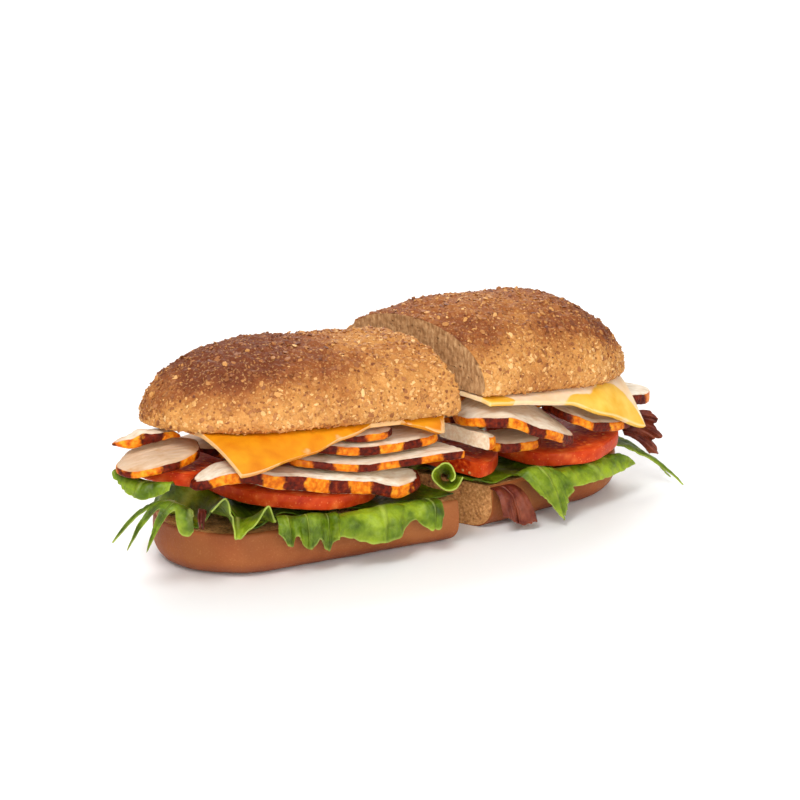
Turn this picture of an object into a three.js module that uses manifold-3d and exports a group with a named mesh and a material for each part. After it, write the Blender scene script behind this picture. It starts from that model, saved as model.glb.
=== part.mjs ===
// A chicken sub: a bran-crusted wheat roll, filled and then cut across on the bias into two halves,
// which lie end to end with the cut a little open. Millimetres, +Z up, the roll along X, its front at -Y.
import * as THREE from "three";
import { mergeVertices } from "three/addons/utils/BufferGeometryUtils.js";
import Module from "manifold-3d";

// ---------------------------------------------------------------- driving dimensions
const GAP = 0.3; // clear air between neighbouring pieces

// The crown is the top of the roll, the heel its lower half. Lengths run from the cut to the end.
const CROWN = { halfWidth: 40, height: 33.5, length: 121.3, endTaper: 53.7, endPower: 1.87 };
const CROWN_RIM = { height: 4.5, tuck: 3.5 }; // the lower edge rolls in under the widest line
const HEEL = { halfWidth: 37.9, height: 21, length: 116.6, endTaper: 35.2, endPower: 1.87 };
const HEEL_EDGE = 10; // radius of the heel's long lower edge
const LUMP = 0.35; // how far the crust swells and dips

// Each half: side is -1 for the left and 1 for the right; cut is the middle of its cut face, turn the
// way that its axis swings and bias the angle of the knife, both in degrees; rim is the height of the
// crown's flat underside at the cut, rise its slope outwards and lean its slope towards the front;
// press is the share of its height that the crown lost under the knife, swell the extra height beyond
// that; heelShift is the heel's place against the crown, outwards and forwards, and heelTrim how much
// further out its own cut lies, and at how many more degrees of bias.
const LEFT = {
  side: -1,
  cut: [-6.2, 0],
  turn: -5.15,
  bias: 20.3,
  rim: 60,
  rise: 0.047,
  lean: 0.043,
  press: 0.02,
  swell: 0,
  heelShift: [0.3, 1.2],
  heelTrim: [0, 0],
};
const RIGHT = {
  side: 1,
  cut: [4.7, 0],
  turn: 5.04,
  bias: 16,
  rim: 69.4,
  rise: -0.097,
  lean: -0.059,
  press: 0.17,
  swell: 2.2,
  heelShift: [0.5, -3.1],
  heelTrim: [4, 6],
};
const PRESSED_LENGTH = 24; // how far from the cut the crown stays pressed

const CHEESE_THICK = 2.4;
const TOMATO_THICK = 7;
const LEAF_THICK = 1.1;
const CHICKEN_BAND = 0.8; // share of a slice's edge that is its grilled outside
const CHICKEN_BEVEL = 2.2; // how far the white cut face slopes back over that edge

const FLAKES_PER_CROWN = 32;
const FLAKE = { long: 2.2, wide: 1.5, thick: 0.85 };

const COLOURS = {
  crust: 0xb5793d,
  heel: 0xb8733f,
  chicken: 0xe9dcc6,
  cheese: 0xf0a31c,
  tomato: 0xb8301a,
  lettuce: 0x5f9a25,
  redLeaf: 0x5a2420,
};

// ---------------------------------------------------------------- geometry helpers
const wasm = await Module();
wasm.setup();

// Every piece is worked out in its half's own measures: out from the cut, near towards the front, up.
const place = (half, [out, near, up]) => new THREE.Vector3(half.side * out, -near, up);

// An indexed closed surface from points and triangles, turned to face out.
function closedGeometry(points, triangles) {
  const geometry = new THREE.BufferGeometry().setFromPoints(points);
  const volume = triangles.reduce((sum, [a, b, c]) => {
    const cross = points[b].clone().cross(points[c]);
    return sum + points[a].dot(cross);
  }, 0);
  const facing = volume < 0 ? triangles.map(([a, b, c]) => [a, c, b]) : triangles;
  geometry.setIndex(facing.flat());
  return mergeVertices(geometry, 1e-4);
}

function solidOf(geometry) {
  const bare = geometry.clone();
  bare.deleteAttribute("normal");
  bare.deleteAttribute("uv");
  const merged = mergeVertices(bare, 1e-4);
  const vertProperties = new Float32Array(merged.attributes.position.array);
  const triVerts = new Uint32Array(merged.index.array);
  return new wasm.Manifold(new wasm.Mesh({ numProp: 3, vertProperties, triVerts }));
}

function geometryOf(solid) {
  const { vertProperties, triVerts } = solid.getMesh();
  const geometry = new THREE.BufferGeometry();
  geometry.setAttribute("position", new THREE.BufferAttribute(vertProperties, 3));
  geometry.setIndex(new THREE.BufferAttribute(triVerts, 1));
  return geometry;
}

// A fixed sequence of numbers from 0 to 1, the same on every run.
function seeded(seed) {
  let state = seed;
  return () => {
    state = (Math.imul(state, 1664525) + 1013904223) >>> 0;
    return state / 2 ** 32;
  };
}

const mix = (a, b, share) => a + (b - a) * share;
const clamp01 = (x) => Math.min(1, Math.max(0, x));
const smooth = (x) => clamp01(x) ** 2 * (3 - 2 * clamp01(x));

// A smooth height that passes through a few stations [place, height], level past the first and last.
function through(stations) {
  return (x) => {
    if (x <= stations[0][0]) return stations[0][1];
    for (let i = 1; i < stations.length; i++) {
      const [x0, z0] = stations[i - 1];
      const [x1, z1] = stations[i];
      if (x < x1) return mix(z0, z1, smooth((x - x0) / (x1 - x0)) * 0.5 + ((x - x0) / (x1 - x0)) * 0.5);
    }
    return stations.at(-1)[1];
  };
}

// How wide the roll still is at a distance out from the cut, as a share of its full width.
function endShare(out, { length, endTaper, endPower }) {
  const share = clamp01((out - (length - endTaper)) / endTaper);
  return (1 - share ** endPower) ** (1 / endPower);
}

// Where the cut lies, out, at a given near.
const cutLine = (half, near, more = 0) =>
  half.side * near * Math.tan(THREE.MathUtils.degToRad(half.bias + more));
const underCrown = (half, out, near) => half.rim + half.rise * out + half.lean * near;

// A loft of like closed rings from the flat cut to the pole at the roll's end.
function loft(half, rings, pole) {
  const points = rings.flat().map((point) => place(half, point));
  const sides = rings[0].length;
  const triangles = [];
  for (let ring = 0; ring + 1 < rings.length; ring++) {
    for (let i = 0; i < sides; i++) {
      const a = ring * sides + i;
      const b = ring * sides + ((i + 1) % sides);
      triangles.push([a, b, a + sides], [b, b + sides, a + sides]);
    }
  }
  const last = (rings.length - 1) * sides;
  const poleIndex = points.push(place(half, pole)) - 1;
  const middle = [0, 1, 2].map((axis) => rings[0].reduce((sum, p) => sum + p[axis], 0) / sides);
  const cutIndex = points.push(place(half, middle)) - 1;
  for (let i = 0; i < sides; i++) {
    const j = (i + 1) % sides;
    triangles.push([last + i, last + j, poleIndex], [j, i, cutIndex]);
  }
  return closedGeometry(points, triangles);
}

// Stations along a half roll: even along its straight length, closer together round its end.
function stationShares(straight, round, straightShare) {
  const shares = [];
  for (let i = 0; i < straight; i++) shares.push((straightShare * i) / straight);
  for (let i = 0; i < round; i++) {
    shares.push(straightShare + (1 - straightShare) * Math.sin((Math.PI / 2) * (i / (round - 0.5))));
  }
  return shares;
}

// ---------------------------------------------------------------- bread
const crustLump = (out, angle, seed) =>
  LUMP *
  (Math.sin(out * 0.11 + seed) * Math.sin(angle * 3 + seed * 2) +
    0.6 * Math.sin(out * 0.23 + angle * 5 + seed * 3));

// A point of the crown's outside at a distance out and an angle over the dome, 0 in front, pi behind.
function crownPoint(half, out, angle) {
  const share = endShare(out, CROWN);
  const lump = crustLump(out, angle, half.side + 2) * Math.sin(angle) * share;
  const near = (CROWN.halfWidth + lump) * Math.cos(angle) * share;
  const pressed = half.press * (1 - smooth((out - cutLine(half, near)) / PRESSED_LENGTH));
  const bulge = half.swell * Math.sin(Math.PI * clamp01(out / CROWN.length));
  const dome = (CROWN.height + bulge - CROWN_RIM.height) * (1 - pressed) + lump;
  const up = (CROWN_RIM.height + dome * Math.sin(angle)) * share;
  return [out, near, underCrown(half, out, near) + up];
}

function crownRings(half) {
  const overDome = 20;
  return stationShares(11, 8, 0.56).map((share) => {
    const ring = [];
    for (let i = 0; i <= overDome; i++) {
      const angle = (Math.PI * i) / overDome;
      const start = cutLine(half, CROWN.halfWidth * Math.cos(angle));
      ring.push(crownPoint(half, mix(start, CROWN.length, share), angle));
    }
    for (const near of [-1, -0.5, 0, 0.5, 1]) {
      const across = near * (CROWN.halfWidth - CROWN_RIM.tuck);
      const out = mix(cutLine(half, across), CROWN.length, share);
      const real = across * endShare(out, CROWN);
      ring.push([out, real, underCrown(half, out, real)]);
    }
    return ring;
  });
}

function crown(half) {
  const end = [CROWN.length, 0, underCrown(half, CROWN.length, 0) + CROWN_RIM.height * 0.3];
  let solid = solidOf(loft(half, crownRings(half), end));
  const random = seeded(11 + half.side);
  for (let i = 0; i < FLAKES_PER_CROWN; i++) solid = solid.add(solidOf(flake(half, i, random)));
  return geometryOf(solid);
}

// A bran flake lies flat on the crust, half sunk, at an even but broken spacing over the dome.
function flake(half, index, random) {
  const golden = 0.618034;
  const angle = Math.PI * (0.12 + 0.76 * ((index * golden) % 1));
  const reach = (index + 0.5) / FLAKES_PER_CROWN;
  const start = cutLine(half, CROWN.halfWidth * Math.cos(angle)) + 6;
  const out = mix(start, CROWN.length - 14, reach) + 3 * (random() - 0.5);
  const centre = place(half, crownPoint(half, out, angle));
  const ahead = place(half, crownPoint(half, out + 2, angle)).sub(centre).normalize();
  const across = place(half, crownPoint(half, out, angle + 0.05)).sub(centre).normalize();
  const outward = across.clone().cross(ahead).normalize();
  if (outward.z < 0) outward.negate();
  const side = outward.clone().cross(ahead);
  const size = 0.8 + 0.5 * random();
  const shape = new THREE.IcosahedronGeometry(1, 0);
  shape.rotateZ(random() * Math.PI);
  shape.scale(FLAKE.long * size, FLAKE.wide * size, FLAKE.thick * size);
  shape.rotateZ(random() * Math.PI);
  shape.applyMatrix4(new THREE.Matrix4().makeBasis(ahead, side, outward).setPosition(centre));
  return shape;
}

function heel(half) {
  const { halfWidth, height, length } = HEEL;
  const profile = [[halfWidth - 1.5, height], [halfWidth, height * 0.65]];
  for (let i = 0; i <= 3; i++) {
    const angle = (Math.PI / 2) * (i / 3);
    profile.push([
      halfWidth - HEEL_EDGE * (1 - Math.cos(angle)),
      HEEL_EDGE * (1 - Math.sin(angle)),
    ]);
  }
  const outline = [...profile, ...profile.map(([near, up]) => [-near, up]).reverse(), [0, height]];
  const [shiftOut, shiftNear] = half.heelShift;
  const [trim, moreBias] = half.heelTrim;
  const rings = stationShares(6, 7, 0.66).map((share) =>
    outline.map(([near, up]) => {
      const inset = halfWidth - Math.abs(near);
      const reach = near === 0 ? length : length - Math.min(inset, HEEL_EDGE);
      const out = mix(trim + cutLine(half, near, moreBias), reach, share);
      const narrow = endShare(out + (length - reach), HEEL);
      return [out + shiftOut, near * narrow + shiftNear, up];
    }),
  );
  return loft(half, rings, [length - 0.6 + shiftOut, shiftNear, height * 0.6]);
}

// ---------------------------------------------------------------- slices and sheets
// A slice with a rounded outline: size is [half length, half width], power squares the outline off,
// turn swings it, base gives the height of its underside at [out, near] and thick its thickness at
// out. Its rim stands upright over the share band of its thickness, then the top slopes back by bevel.
function slice(half, { centre, size, power, turn = 0, base, thick, sides, bevel, band }) {
  const angleTurn = THREE.MathUtils.degToRad(turn);
  const at = (angle, reach) => {
    const cos = Math.cos(angle);
    const sin = Math.sin(angle);
    const x = Math.sign(cos) * Math.abs(cos) ** (2 / power) * size[0] * reach;
    const y = Math.sign(sin) * Math.abs(sin) ** (2 / power) * size[1] * reach;
    return [
      centre[0] + x * Math.cos(angleTurn) - y * Math.sin(angleTurn),
      centre[1] + x * Math.sin(angleTurn) + y * Math.cos(angleTurn),
    ];
  };
  const inner = 1 - bevel / Math.min(size[0], size[1]);
  const shells = [
    [0, 0],
    [0.6, 0],
    [1, 0.08],
    [1, band],
    [inner, 0.97],
    [0.6 * inner, 1],
    [0, 1],
  ];
  const points = [];
  const rings = shells.map(([reach, share]) => {
    const count = reach === 0 ? 1 : sides;
    return Array.from({ length: count }, (_, i) => {
      const [out, near] = at((2 * Math.PI * i) / sides, reach);
      return points.push(place(half, [out, near, base(out, near) + share * thick(out)])) - 1;
    });
  });
  const triangles = [];
  for (let ring = 0; ring + 1 < rings.length; ring++) {
    const lower = rings[ring];
    const upper = rings[ring + 1];
    for (let i = 0; i < sides; i++) {
      const j = (i + 1) % sides;
      if (lower.length > 1) triangles.push([lower[i], lower[j], upper[i % upper.length]]);
      if (upper.length > 1) triangles.push([lower[j % lower.length], upper[j], upper[i]]);
    }
  }
  return closedGeometry(points, triangles);
}

// A thin sheet of even thickness: middle(u, v) gives its middle surface, both faces split alike.
function sheet(half, alongCount, acrossCount, middle, thick) {
  const step = 1e-3;
  const surface = (u, v) => new THREE.Vector3(...middle(u, v));
  const points = [];
  for (const face of [0.5, -0.5]) {
    for (let i = 0; i <= alongCount; i++) {
      for (let j = 0; j <= acrossCount; j++) {
        const u = i / alongCount;
        const v = j / acrossCount;
        const du = surface(Math.min(1, u + step), v).sub(surface(Math.max(0, u - step), v));
        const dv = surface(u, Math.min(1, v + step)).sub(surface(u, Math.max(0, v - step)));
        const normal = du.cross(dv).normalize();
        const [out, near, up] = surface(u, v).addScaledVector(normal, face * thick);
        points.push(place(half, [out, near, up]));
      }
    }
  }
  const row = acrossCount + 1;
  const under = (alongCount + 1) * row;
  const triangles = [];
  const quad = (a, b, c, d) => triangles.push([a, b, c], [a, c, d]);
  for (let i = 0; i < alongCount; i++) {
    for (let j = 0; j < acrossCount; j++) {
      const a = i * row + j;
      quad(a, a + row, a + row + 1, a + 1);
      triangles.push([under + a, under + a + row + 1, under + a + row]);
      triangles.push([under + a, under + a + 1, under + a + row + 1]);
    }
  }
  for (let i = 0; i < alongCount; i++) {
    const a = i * row;
    const b = a + acrossCount;
    quad(a, under + a, under + a + row, a + row);
    quad(b, b + row, under + b + row, under + b);
  }
  for (let j = 0; j < acrossCount; j++) {
    const b = alongCount * row + j;
    quad(j, j + 1, under + j + 1, under + j);
    quad(b, under + b, under + b + 1, b + 1);
  }
  return closedGeometry(points, triangles);
}

// A curved patch over nine guide points: three rows from the root to the free edge, three to a row.
function patch(rows) {
  const blend = (a, b, c, t) => a * (1 - t) ** 2 + 2 * b * t * (1 - t) + c * t * t;
  return (u, v) =>
    [0, 1, 2].map((axis) => {
      const [root, mid, edge] = rows.map((row) => blend(row[0][axis], row[1][axis], row[2][axis], u));
      return blend(root, mid, edge, v);
    });
}

// A leaf hangs from its root to a lobed, ruffled edge: a notch under 1 makes the lobes pointed and over
// 1 broad, and a spread over 1 makes the first ones wider; lead and phase are the shares of a lobe and
// of a ruffle that it starts at.
function leaf(half, options) {
  const { rows, along = 12, lobes = 0, lobeDepth = 0, notch = 1, spread = 1, lead = 0 } = options;
  const { ruffles, ruffle, phase = 0 } = options;
  const plain = patch(rows);
  const middle = (u, v) => {
    const lobe = lobes * u ** spread + lead;
    const cutBack = lobeDepth * (0.5 + 0.5 * Math.cos(2 * Math.PI * lobe)) ** notch;
    const reach = v * (1 - cutBack);
    const centre = new THREE.Vector3(...plain(u, reach));
    const du = new THREE.Vector3(...plain(Math.min(1, u + 0.01), reach)).sub(centre);
    const dv = new THREE.Vector3(...plain(u, reach + 0.01)).sub(centre);
    if (u > 0.985) du.set(...plain(u - 0.01, reach)).sub(centre).negate();
    const normal = du.cross(dv).normalize();
    const wave = ruffle * reach ** 1.3 * Math.sin(2 * Math.PI * (ruffles * u + phase));
    return centre.addScaledVector(normal, wave).toArray();
  };
  return sheet(half, along, 3, middle, LEAF_THICK);
}

// What lies across the cut is cut with the roll.
function cutFlush(half, geometry) {
  const reach = 400;
  const knife = new THREE.BoxGeometry(reach, reach, reach);
  knife.translate(-half.side * (reach / 2), 0, 0);
  knife.rotateZ(THREE.MathUtils.degToRad(half.bias));
  return geometryOf(solidOf(geometry).subtract(solidOf(knife)));
}

// ---------------------------------------------------------------- the pieces
function add(half, name, geometry, colour, roughness = 0.6) {
  const material = new THREE.MeshStandardMaterial({ color: colour, roughness, metalness: 0 });
  const mesh = new THREE.Mesh(geometry, material);
  mesh.name = name;
  half.group.add(mesh);
}

for (const half of [LEFT, RIGHT]) {
  half.group = new THREE.Group();
  half.group.position.set(half.cut[0], half.cut[1], 0);
  half.group.rotation.z = THREE.MathUtils.degToRad(half.turn);
  const name = half === LEFT ? "left" : "right";
  add(half, `${name}_crown`, crown(half), COLOURS.crust, 0.8);
  add(half, `${name}_heel`, heel(half), COLOURS.heel, 0.7);
}

// Cheese lies under the crown and sags where it sticks out past it. edge gives how far forward it
// reaches and drop how far its front edge hangs below the crown, both at stations out from the cut.
function cheese(half, { reach, slant, back, edge, drop, backDrop, along }) {
  const rimWidth = (out) => Math.max(6, CROWN.halfWidth * endShare(Math.max(0, out), CROWN) - 5);
  const edgeAt = through(edge);
  const dropAt = through(drop);
  const middle = (u, v) => {
    const outAtFront = mix(cutLine(half, 38), reach - slant * 38, u);
    const front = edgeAt(outAtFront);
    const near = mix(-back, front, v);
    const out = mix(cutLine(half, near) + 0.6, reach - slant * Math.abs(near), u);
    const overFront = clamp01((near - rimWidth(out)) / Math.max(1, front - rimWidth(out)));
    const overBack = clamp01((-near - rimWidth(out)) / Math.max(1, back - rimWidth(out)));
    const sag = dropAt(out) * overFront ** 1.4 + backDrop * overBack ** 1.4;
    return [out, near, underCrown(half, out, near) - GAP - CHEESE_THICK / 2 - 0.1 - sag];
  };
  return sheet(half, along, 6, middle, CHEESE_THICK);
}

const cheeseOf = {
  left: {
    reach: 109,
    slant: 0.2,
    back: 42,
    edge: [[-15, 30], [-4, 39], [6, 38], [13, 35], [26, 35], [40, 40], [70, 46], [97, 54]],
    drop: [[-14, 8], [-4, 6], [8, 2], [16, 0.5], [28, 0.5], [46, 3.5], [60, 7.5], [97, 11.5]],
    backDrop: 3,
    along: 14,
  },
  right: {
    reach: 108,
    slant: 0.02,
    back: 42,
    edge: [[12, 41], [50, 43], [80, 45], [106, 42]],
    drop: [[12, 1], [30, 1.5], [59, 4], [79, 10.8], [106, 20]],
    backDrop: 4,
    along: 10,
  },
};
add(LEFT, "left_cheese", cheese(LEFT, cheeseOf.left), COLOURS.cheese, 0.45);
add(RIGHT, "right_cheese", cheese(RIGHT, cheeseOf.right), COLOURS.cheese, 0.45);

// Tomato slices: up is the height of the underside at the centre.
function tomato(half, name, options) {
  const { centre, radius, up, slopeOut = 0, slopeNear = 0, thick = TOMATO_THICK, flush = false } = options;
  const base = (out, near) => up + slopeOut * (out - centre[0]) + slopeNear * (near - centre[1]);
  const size = [radius, radius * 0.97];
  const shape = { centre, size, power: 2, base, thick: () => thick };
  const geometry = slice(half, { ...shape, sides: 22, bevel: 1, band: 0.9 });
  add(half, name, flush ? cutFlush(half, geometry) : geometry, COLOURS.tomato, 0.35);
}
tomato(LEFT, "left_tomato_1", { centre: [54, 3], radius: 40, up: 27.5, slopeOut: 0.11 });
tomato(LEFT, "left_tomato_2", { centre: [108, 5], radius: 22, up: 41.9, slopeOut: 0.16, thick: 6.5 });
tomato(RIGHT, "right_tomato_1", { centre: [75, 11], radius: 33, up: 25.5, slopeOut: 0.03, slopeNear: -0.04 });
tomato(RIGHT, "right_tomato_2", { centre: [5, 4], radius: 34.5, up: 28, slopeOut: -0.1, flush: true });

// Chicken: thin slices of grilled breast, white where they are cut, their rim the grilled outside.
// from and to are the ends along the roll, front and depth the near edge and the width; heights are
// the stations of the underside along the front edge, slope lifts it inwards, and thick is one
// thickness or stations of it.
function chicken(half, name, options) {
  const { from, to, front, depth, heights, power = 3, turn = 0, flush = false } = options;
  const height = through(heights);
  const slope = through(options.slope ?? [[0, 0]]);
  const thick = through([options.thick].flat().length > 1 ? options.thick : [[0, options.thick]]);
  const base = (out, near) => height(out) + slope(out) * (front - near);
  const centre = [(from + to) / 2, front - depth / 2];
  const size = [(to - from) / 2, depth / 2];
  const cut = { bevel: CHICKEN_BEVEL, band: CHICKEN_BAND };
  const geometry = slice(half, { centre, size, power, turn, base, thick, sides: 16, ...cut });
  add(half, name, flush ? cutFlush(half, geometry) : geometry, COLOURS.chicken, 0.55);
}
const chickenOf = {
  left: [
    {
      from: 107,
      to: 138,
      front: 12,
      depth: 10,
      heights: [[107, 59.3], [112, 60.5], [122, 59.6], [131, 58.2], [138, 60]],
      slope: [[0, -0.1]],
      thick: [[107, 2.3], [113, 4], [121, 5.2], [126, 6.8], [132, 5.2], [138, 2]],
      power: 1.9,
    },
    {
      from: 98,
      to: 141,
      front: 27,
      depth: 27,
      heights: [[98, 51.4], [120, 51.2], [141, 49.4]],
      slope: [[0, 0.08]],
      thick: [[98, 4.4], [120, 4.4], [141, 3.4]],
      power: 2,
      turn: 22,
    },
    {
      from: 4,
      to: 114,
      front: 45,
      depth: 20,
      heights: [
        [4, 27], [18, 26.5], [34, 32.6], [47, 35.1], [76, 41.4], [92, 46.6], [100, 46.6], [114, 42.6],
      ],
      slope: [[4, 0.3], [20, 0.3], [36, 0.05], [60, -0.05], [76, -0.1], [92, 0], [114, 0.1]],
      thick: [[4, 6.8], [30, 7.4], [66, 8], [86, 7], [114, 5]],
      power: 2.6,
    },
    {
      from: -34,
      to: 68,
      front: 42,
      depth: 30,
      heights: [[-18, 41], [0, 41.5], [32, 41.9], [68, 48.2]],
      thick: 4.4,
      power: 4,
      flush: true,
    },
    {
      from: -9,
      to: 68,
      front: 38,
      depth: 28,
      heights: [[-4, 47.6], [30, 47.9], [64, 53.4]],
      thick: 5.1,
      flush: true,
    },
    {
      from: 15,
      to: 46,
      front: 36.5,
      depth: 22,
      heights: [[15, 53.7], [32, 54.1], [46, 55.9]],
      thick: [[15, 4.1], [32, 4.1], [46, 2.8]],
    },
    {
      from: 10,
      to: 96,
      front: -12,
      depth: 30,
      heights: [[10, 33.8], [50, 36.2], [96, 40.2]],
      thick: 5.8,
    },
    { from: 6, to: 84, front: -10, depth: 32, heights: [[6, 41.4], [84, 46]], thick: 5.6, flush: true },
    { from: 24, to: 92, front: -8, depth: 28, heights: [[24, 49.6], [92, 53.5]], thick: 4.8 },
  ],
  right: [
    {
      from: 4,
      to: 66,
      front: 47,
      depth: 32,
      heights: [[4, 53.4], [20, 51.4], [40, 43], [66, 31.5]],
      slope: [[4, -0.1], [20, 0.1], [38, 0.35], [56, 0.34], [66, 0.28]],
      thick: [[4, 5.2], [20, 6.2], [66, 5.8]],
      power: 2.6,
      turn: 4,
    },
    {
      from: -26,
      to: 20,
      front: 42,
      depth: 28,
      heights: [[-18, 46.6], [20, 40.6]],
      thick: 7.4,
      power: 4,
      flush: true,
    },
    { from: 22, to: 50, front: 38, depth: 24, heights: [[22, 36.4], [50, 34.6]], thick: 5.4 },
    {
      from: 58.5,
      to: 106,
      front: 41,
      depth: 26,
      heights: [[58, 45.8], [66, 42.8], [77, 38], [93, 35.2], [106, 33.6]],
      slope: [[0, 0.1]],
      thick: 5.4,
    },
    {
      from: 96,
      to: 137,
      front: 24,
      depth: 30,
      heights: [[96, 42], [137, 37.2]],
      thick: 6.4,
      power: 2.2,
    },
    {
      from: -10,
      to: 102,
      front: -9,
      depth: 31,
      heights: [[-10, 38], [70, 34.4], [100, 35.4]],
      thick: 6.5,
      flush: true,
    },
    {
      from: -12,
      to: 76,
      front: -12,
      depth: 28,
      heights: [[-12, 48], [76, 44]],
      thick: 6.5,
      flush: true,
    },
    {
      from: 0,
      to: 104,
      front: -8,
      depth: 28,
      heights: [[0, 56], [40, 54.5], [104, 47]],
      thick: 4.6,
      flush: true,
    },
  ],
};
chickenOf.left.forEach((options, i) => chicken(LEFT, `left_chicken_${i + 1}`, options));
chickenOf.right.forEach((options, i) => chicken(RIGHT, `right_chicken_${i + 1}`, options));

// ---------------------------------------------------------------- lettuce
// Each leaf hangs over three rows of three guide points [out, near, up]: root, shoulder and free edge.
const leavesOf = {
  left: {
    end: {
      rows: [
        [[118, 27.5, 45], [125, 22.5, 44], [130, 11, 45.5]],
        [[121, 32, 50.5], [135, 26, 50], [142, 12, 54]],
        [[122.5, 32, 44.5], [137, 23.5, 34], [140.5, 13, 48]],
      ],
      along: 10,
      ruffles: 1,
      ruffle: 0.7,
    },
    fingers: {
      rows: [
        [[113.5, 37, 33], [116.5, 34, 37], [120, 28, 38.5]],
        [[119, 48, 44], [126, 46.5, 56], [137, 36.5, 44.5]],
        [[117.5, 46.5, 30], [138, 44.5, 13.5], [149.5, 27.5, 25.5]],
      ],
      along: 24,
      lobes: 3.5,
      lobeDepth: 0.5,
      notch: 0.6,
      spread: 2,
      lead: 0.5,
      ruffles: 1.5,
      ruffle: 1.2,
    },
    frill: {
      rows: [
        [[81, 34, 25], [92, 33, 27.5], [102, 30, 30.5]],
        [[81, 41, 27], [95, 42, 31], [108, 38.5, 35]],
        [[80.5, 48, 27], [95, 48.5, 30], [109, 45, 36]],
      ],
      along: 22,
      ruffles: 1.43,
      ruffle: 7.5,
      phase: 0.035,
    },
    red: {
      rows: [
        [[105, 31, 31], [106.5, 30, 31.5], [108, 29, 32]],
        [[109.5, 41, 39], [111, 40.5, 39.5], [112.5, 40, 40]],
        [[111, 44, 30], [112.5, 43.5, 28], [114, 43, 30]],
      ],
      along: 6,
      lobes: 2,
      lobeDepth: 0.2,
      ruffles: 1,
      ruffle: 0.7,
    },
    front: {
      rows: [
        [[49, 36.5, 22.5], [64, 36.5, 24], [77, 36.5, 25.5]],
        [[48, 47.5, 33], [65, 48, 35], [78.5, 47, 34]],
        [[50, 46.5, 9], [64, 46.5, 12], [78, 46, 18]],
      ],
      lobes: 3,
      lobeDepth: 0.14,
      notch: 1.4,
      ruffles: 2,
      ruffle: 2.0,
      phase: 0.5,
    },
    broad: {
      rows: [
        [[0, 37, 22.5], [16, 37, 22.5], [46, 37, 22.5]],
        [[-3, 48, 29], [14, 49.5, 34], [53, 56, 34]],
        [[-1, 47, 13], [13, 48, 12], [54, 54.5, 12]],
      ],
      along: 14,
      lobes: 2,
      lobeDepth: 0.18,
      notch: 2,
      spread: 0.72,
      ruffles: 2,
      ruffle: 2.0,
    },
    back_1: {
      rows: [
        [[60, -36.5, 24], [80, -36.5, 25], [98, -33, 27]],
        [[60, -46, 28], [80, -46, 31], [100, -42, 34]],
        [[62, -46, 12], [80, -45, 14], [100, -41, 20]],
      ],
      along: 10,
      lobes: 3,
      lobeDepth: 0.25,
      ruffles: 2,
      ruffle: 2.6,
    },
    back_2: {
      rows: [
        [[18, -37, 22.5], [36, -37, 22.5], [56, -37, 22.5]],
        [[18, -47, 25], [36, -48, 28], [56, -47, 27]],
        [[20, -46, 12], [36, -46, 8], [54, -46, 12]],
      ],
      along: 10,
      lobes: 3,
      lobeDepth: 0.25,
      ruffles: 1.5,
      ruffle: 1.8,
    },
  },
  right: {
    big: {
      rows: [
        [[29, 37, 25], [38, 37, 25], [48, 37, 24]],
        [[27, 47, 31], [37, 50, 48], [51, 49, 30]],
        [[40, 50, 12], [50, 52, -6], [59, 50, 10]],
      ],
      lobes: 1,
      lobeDepth: 0.15,
      ruffles: 1,
      ruffle: 1.8,
    },
    smooth: {
      rows: [
        [[50, 36, 22.6], [68, 36, 22.6], [88, 35, 22.6]],
        [[51, 44, 25], [74, 44, 25.5], [100, 38, 24]],
        [[54, 45, 16], [76, 46, 14], [106, 37.5, 15.5]],
      ],
      ruffles: 0.5,
      ruffle: 0.8,
    },
    thin: {
      rows: [
        [[96, 22, 23.2], [99, 15, 23.2], [101, 6, 23.2]],
        [[108, 34, 27], [114, 28, 27], [118, 18, 27]],
        [[125, 44, 2], [142, 46, -4], [129, 29, 8]],
      ],
      lobes: 2,
      lobeDepth: 0.5,
      notch: 0.6,
      ruffles: 1,
      ruffle: 1.2,
    },
    red_end: {
      rows: [
        [[109, 26, 26.5], [110, 22, 30.5], [110, 18, 34.5]],
        [[113, 33, 26], [117, 33, 33], [117, 29, 40]],
        [[119, 36.5, 14.5], [127, 36, 25], [122, 33, 38]],
      ],
      along: 10,
      lobes: 3,
      lobeDepth: 0.15,
      ruffles: 2.5,
      ruffle: 2.2,
    },
    red_cut: {
      rows: [
        [[17, 36, 21], [22, 36, 21], [28, 37, 21]],
        [[17, 44, 22], [25, 45, 24], [32, 46, 22]],
        [[19, 44, 6], [28, 45, 4], [38, 46.5, -1]],
      ],
      along: 8,
      lobes: 1,
      lobeDepth: 0.1,
      ruffles: 1.5,
      ruffle: 1.2,
    },
    back_1: {
      rows: [
        [[56, -37.5, 23], [74, -37.5, 23], [88, -34, 23]],
        [[56, -48, 26], [74, -49, 27], [96, -44, 27]],
        [[58, -48, 10], [74, -49, 8], [96, -45, 12]],
      ],
      along: 10,
      lobes: 3,
      lobeDepth: 0.25,
      ruffles: 2,
      ruffle: 2.2,
    },
    back_2: {
      rows: [
        [[-4, -38, 23], [18, -38, 23], [50, -38, 22.6]],
        [[-6, -48, 27], [18, -50, 28], [50, -48, 27]],
        [[-4, -48, 13], [18, -49, 8], [48, -48, 10]],
      ],
      along: 10,
      lobes: 3,
      lobeDepth: 0.2,
      ruffles: 1.5,
      ruffle: 1.8,
    },
  },
};
for (const half of [LEFT, RIGHT]) {
  const side = half === LEFT ? "left" : "right";
  for (const [leafName, options] of Object.entries(leavesOf[side])) {
    const colour = leafName.startsWith("red") ? COLOURS.redLeaf : COLOURS.lettuce;
    add(half, `${side}_leaf_${leafName}`, leaf(half, options), colour, 0.5);
  }
}

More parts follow.
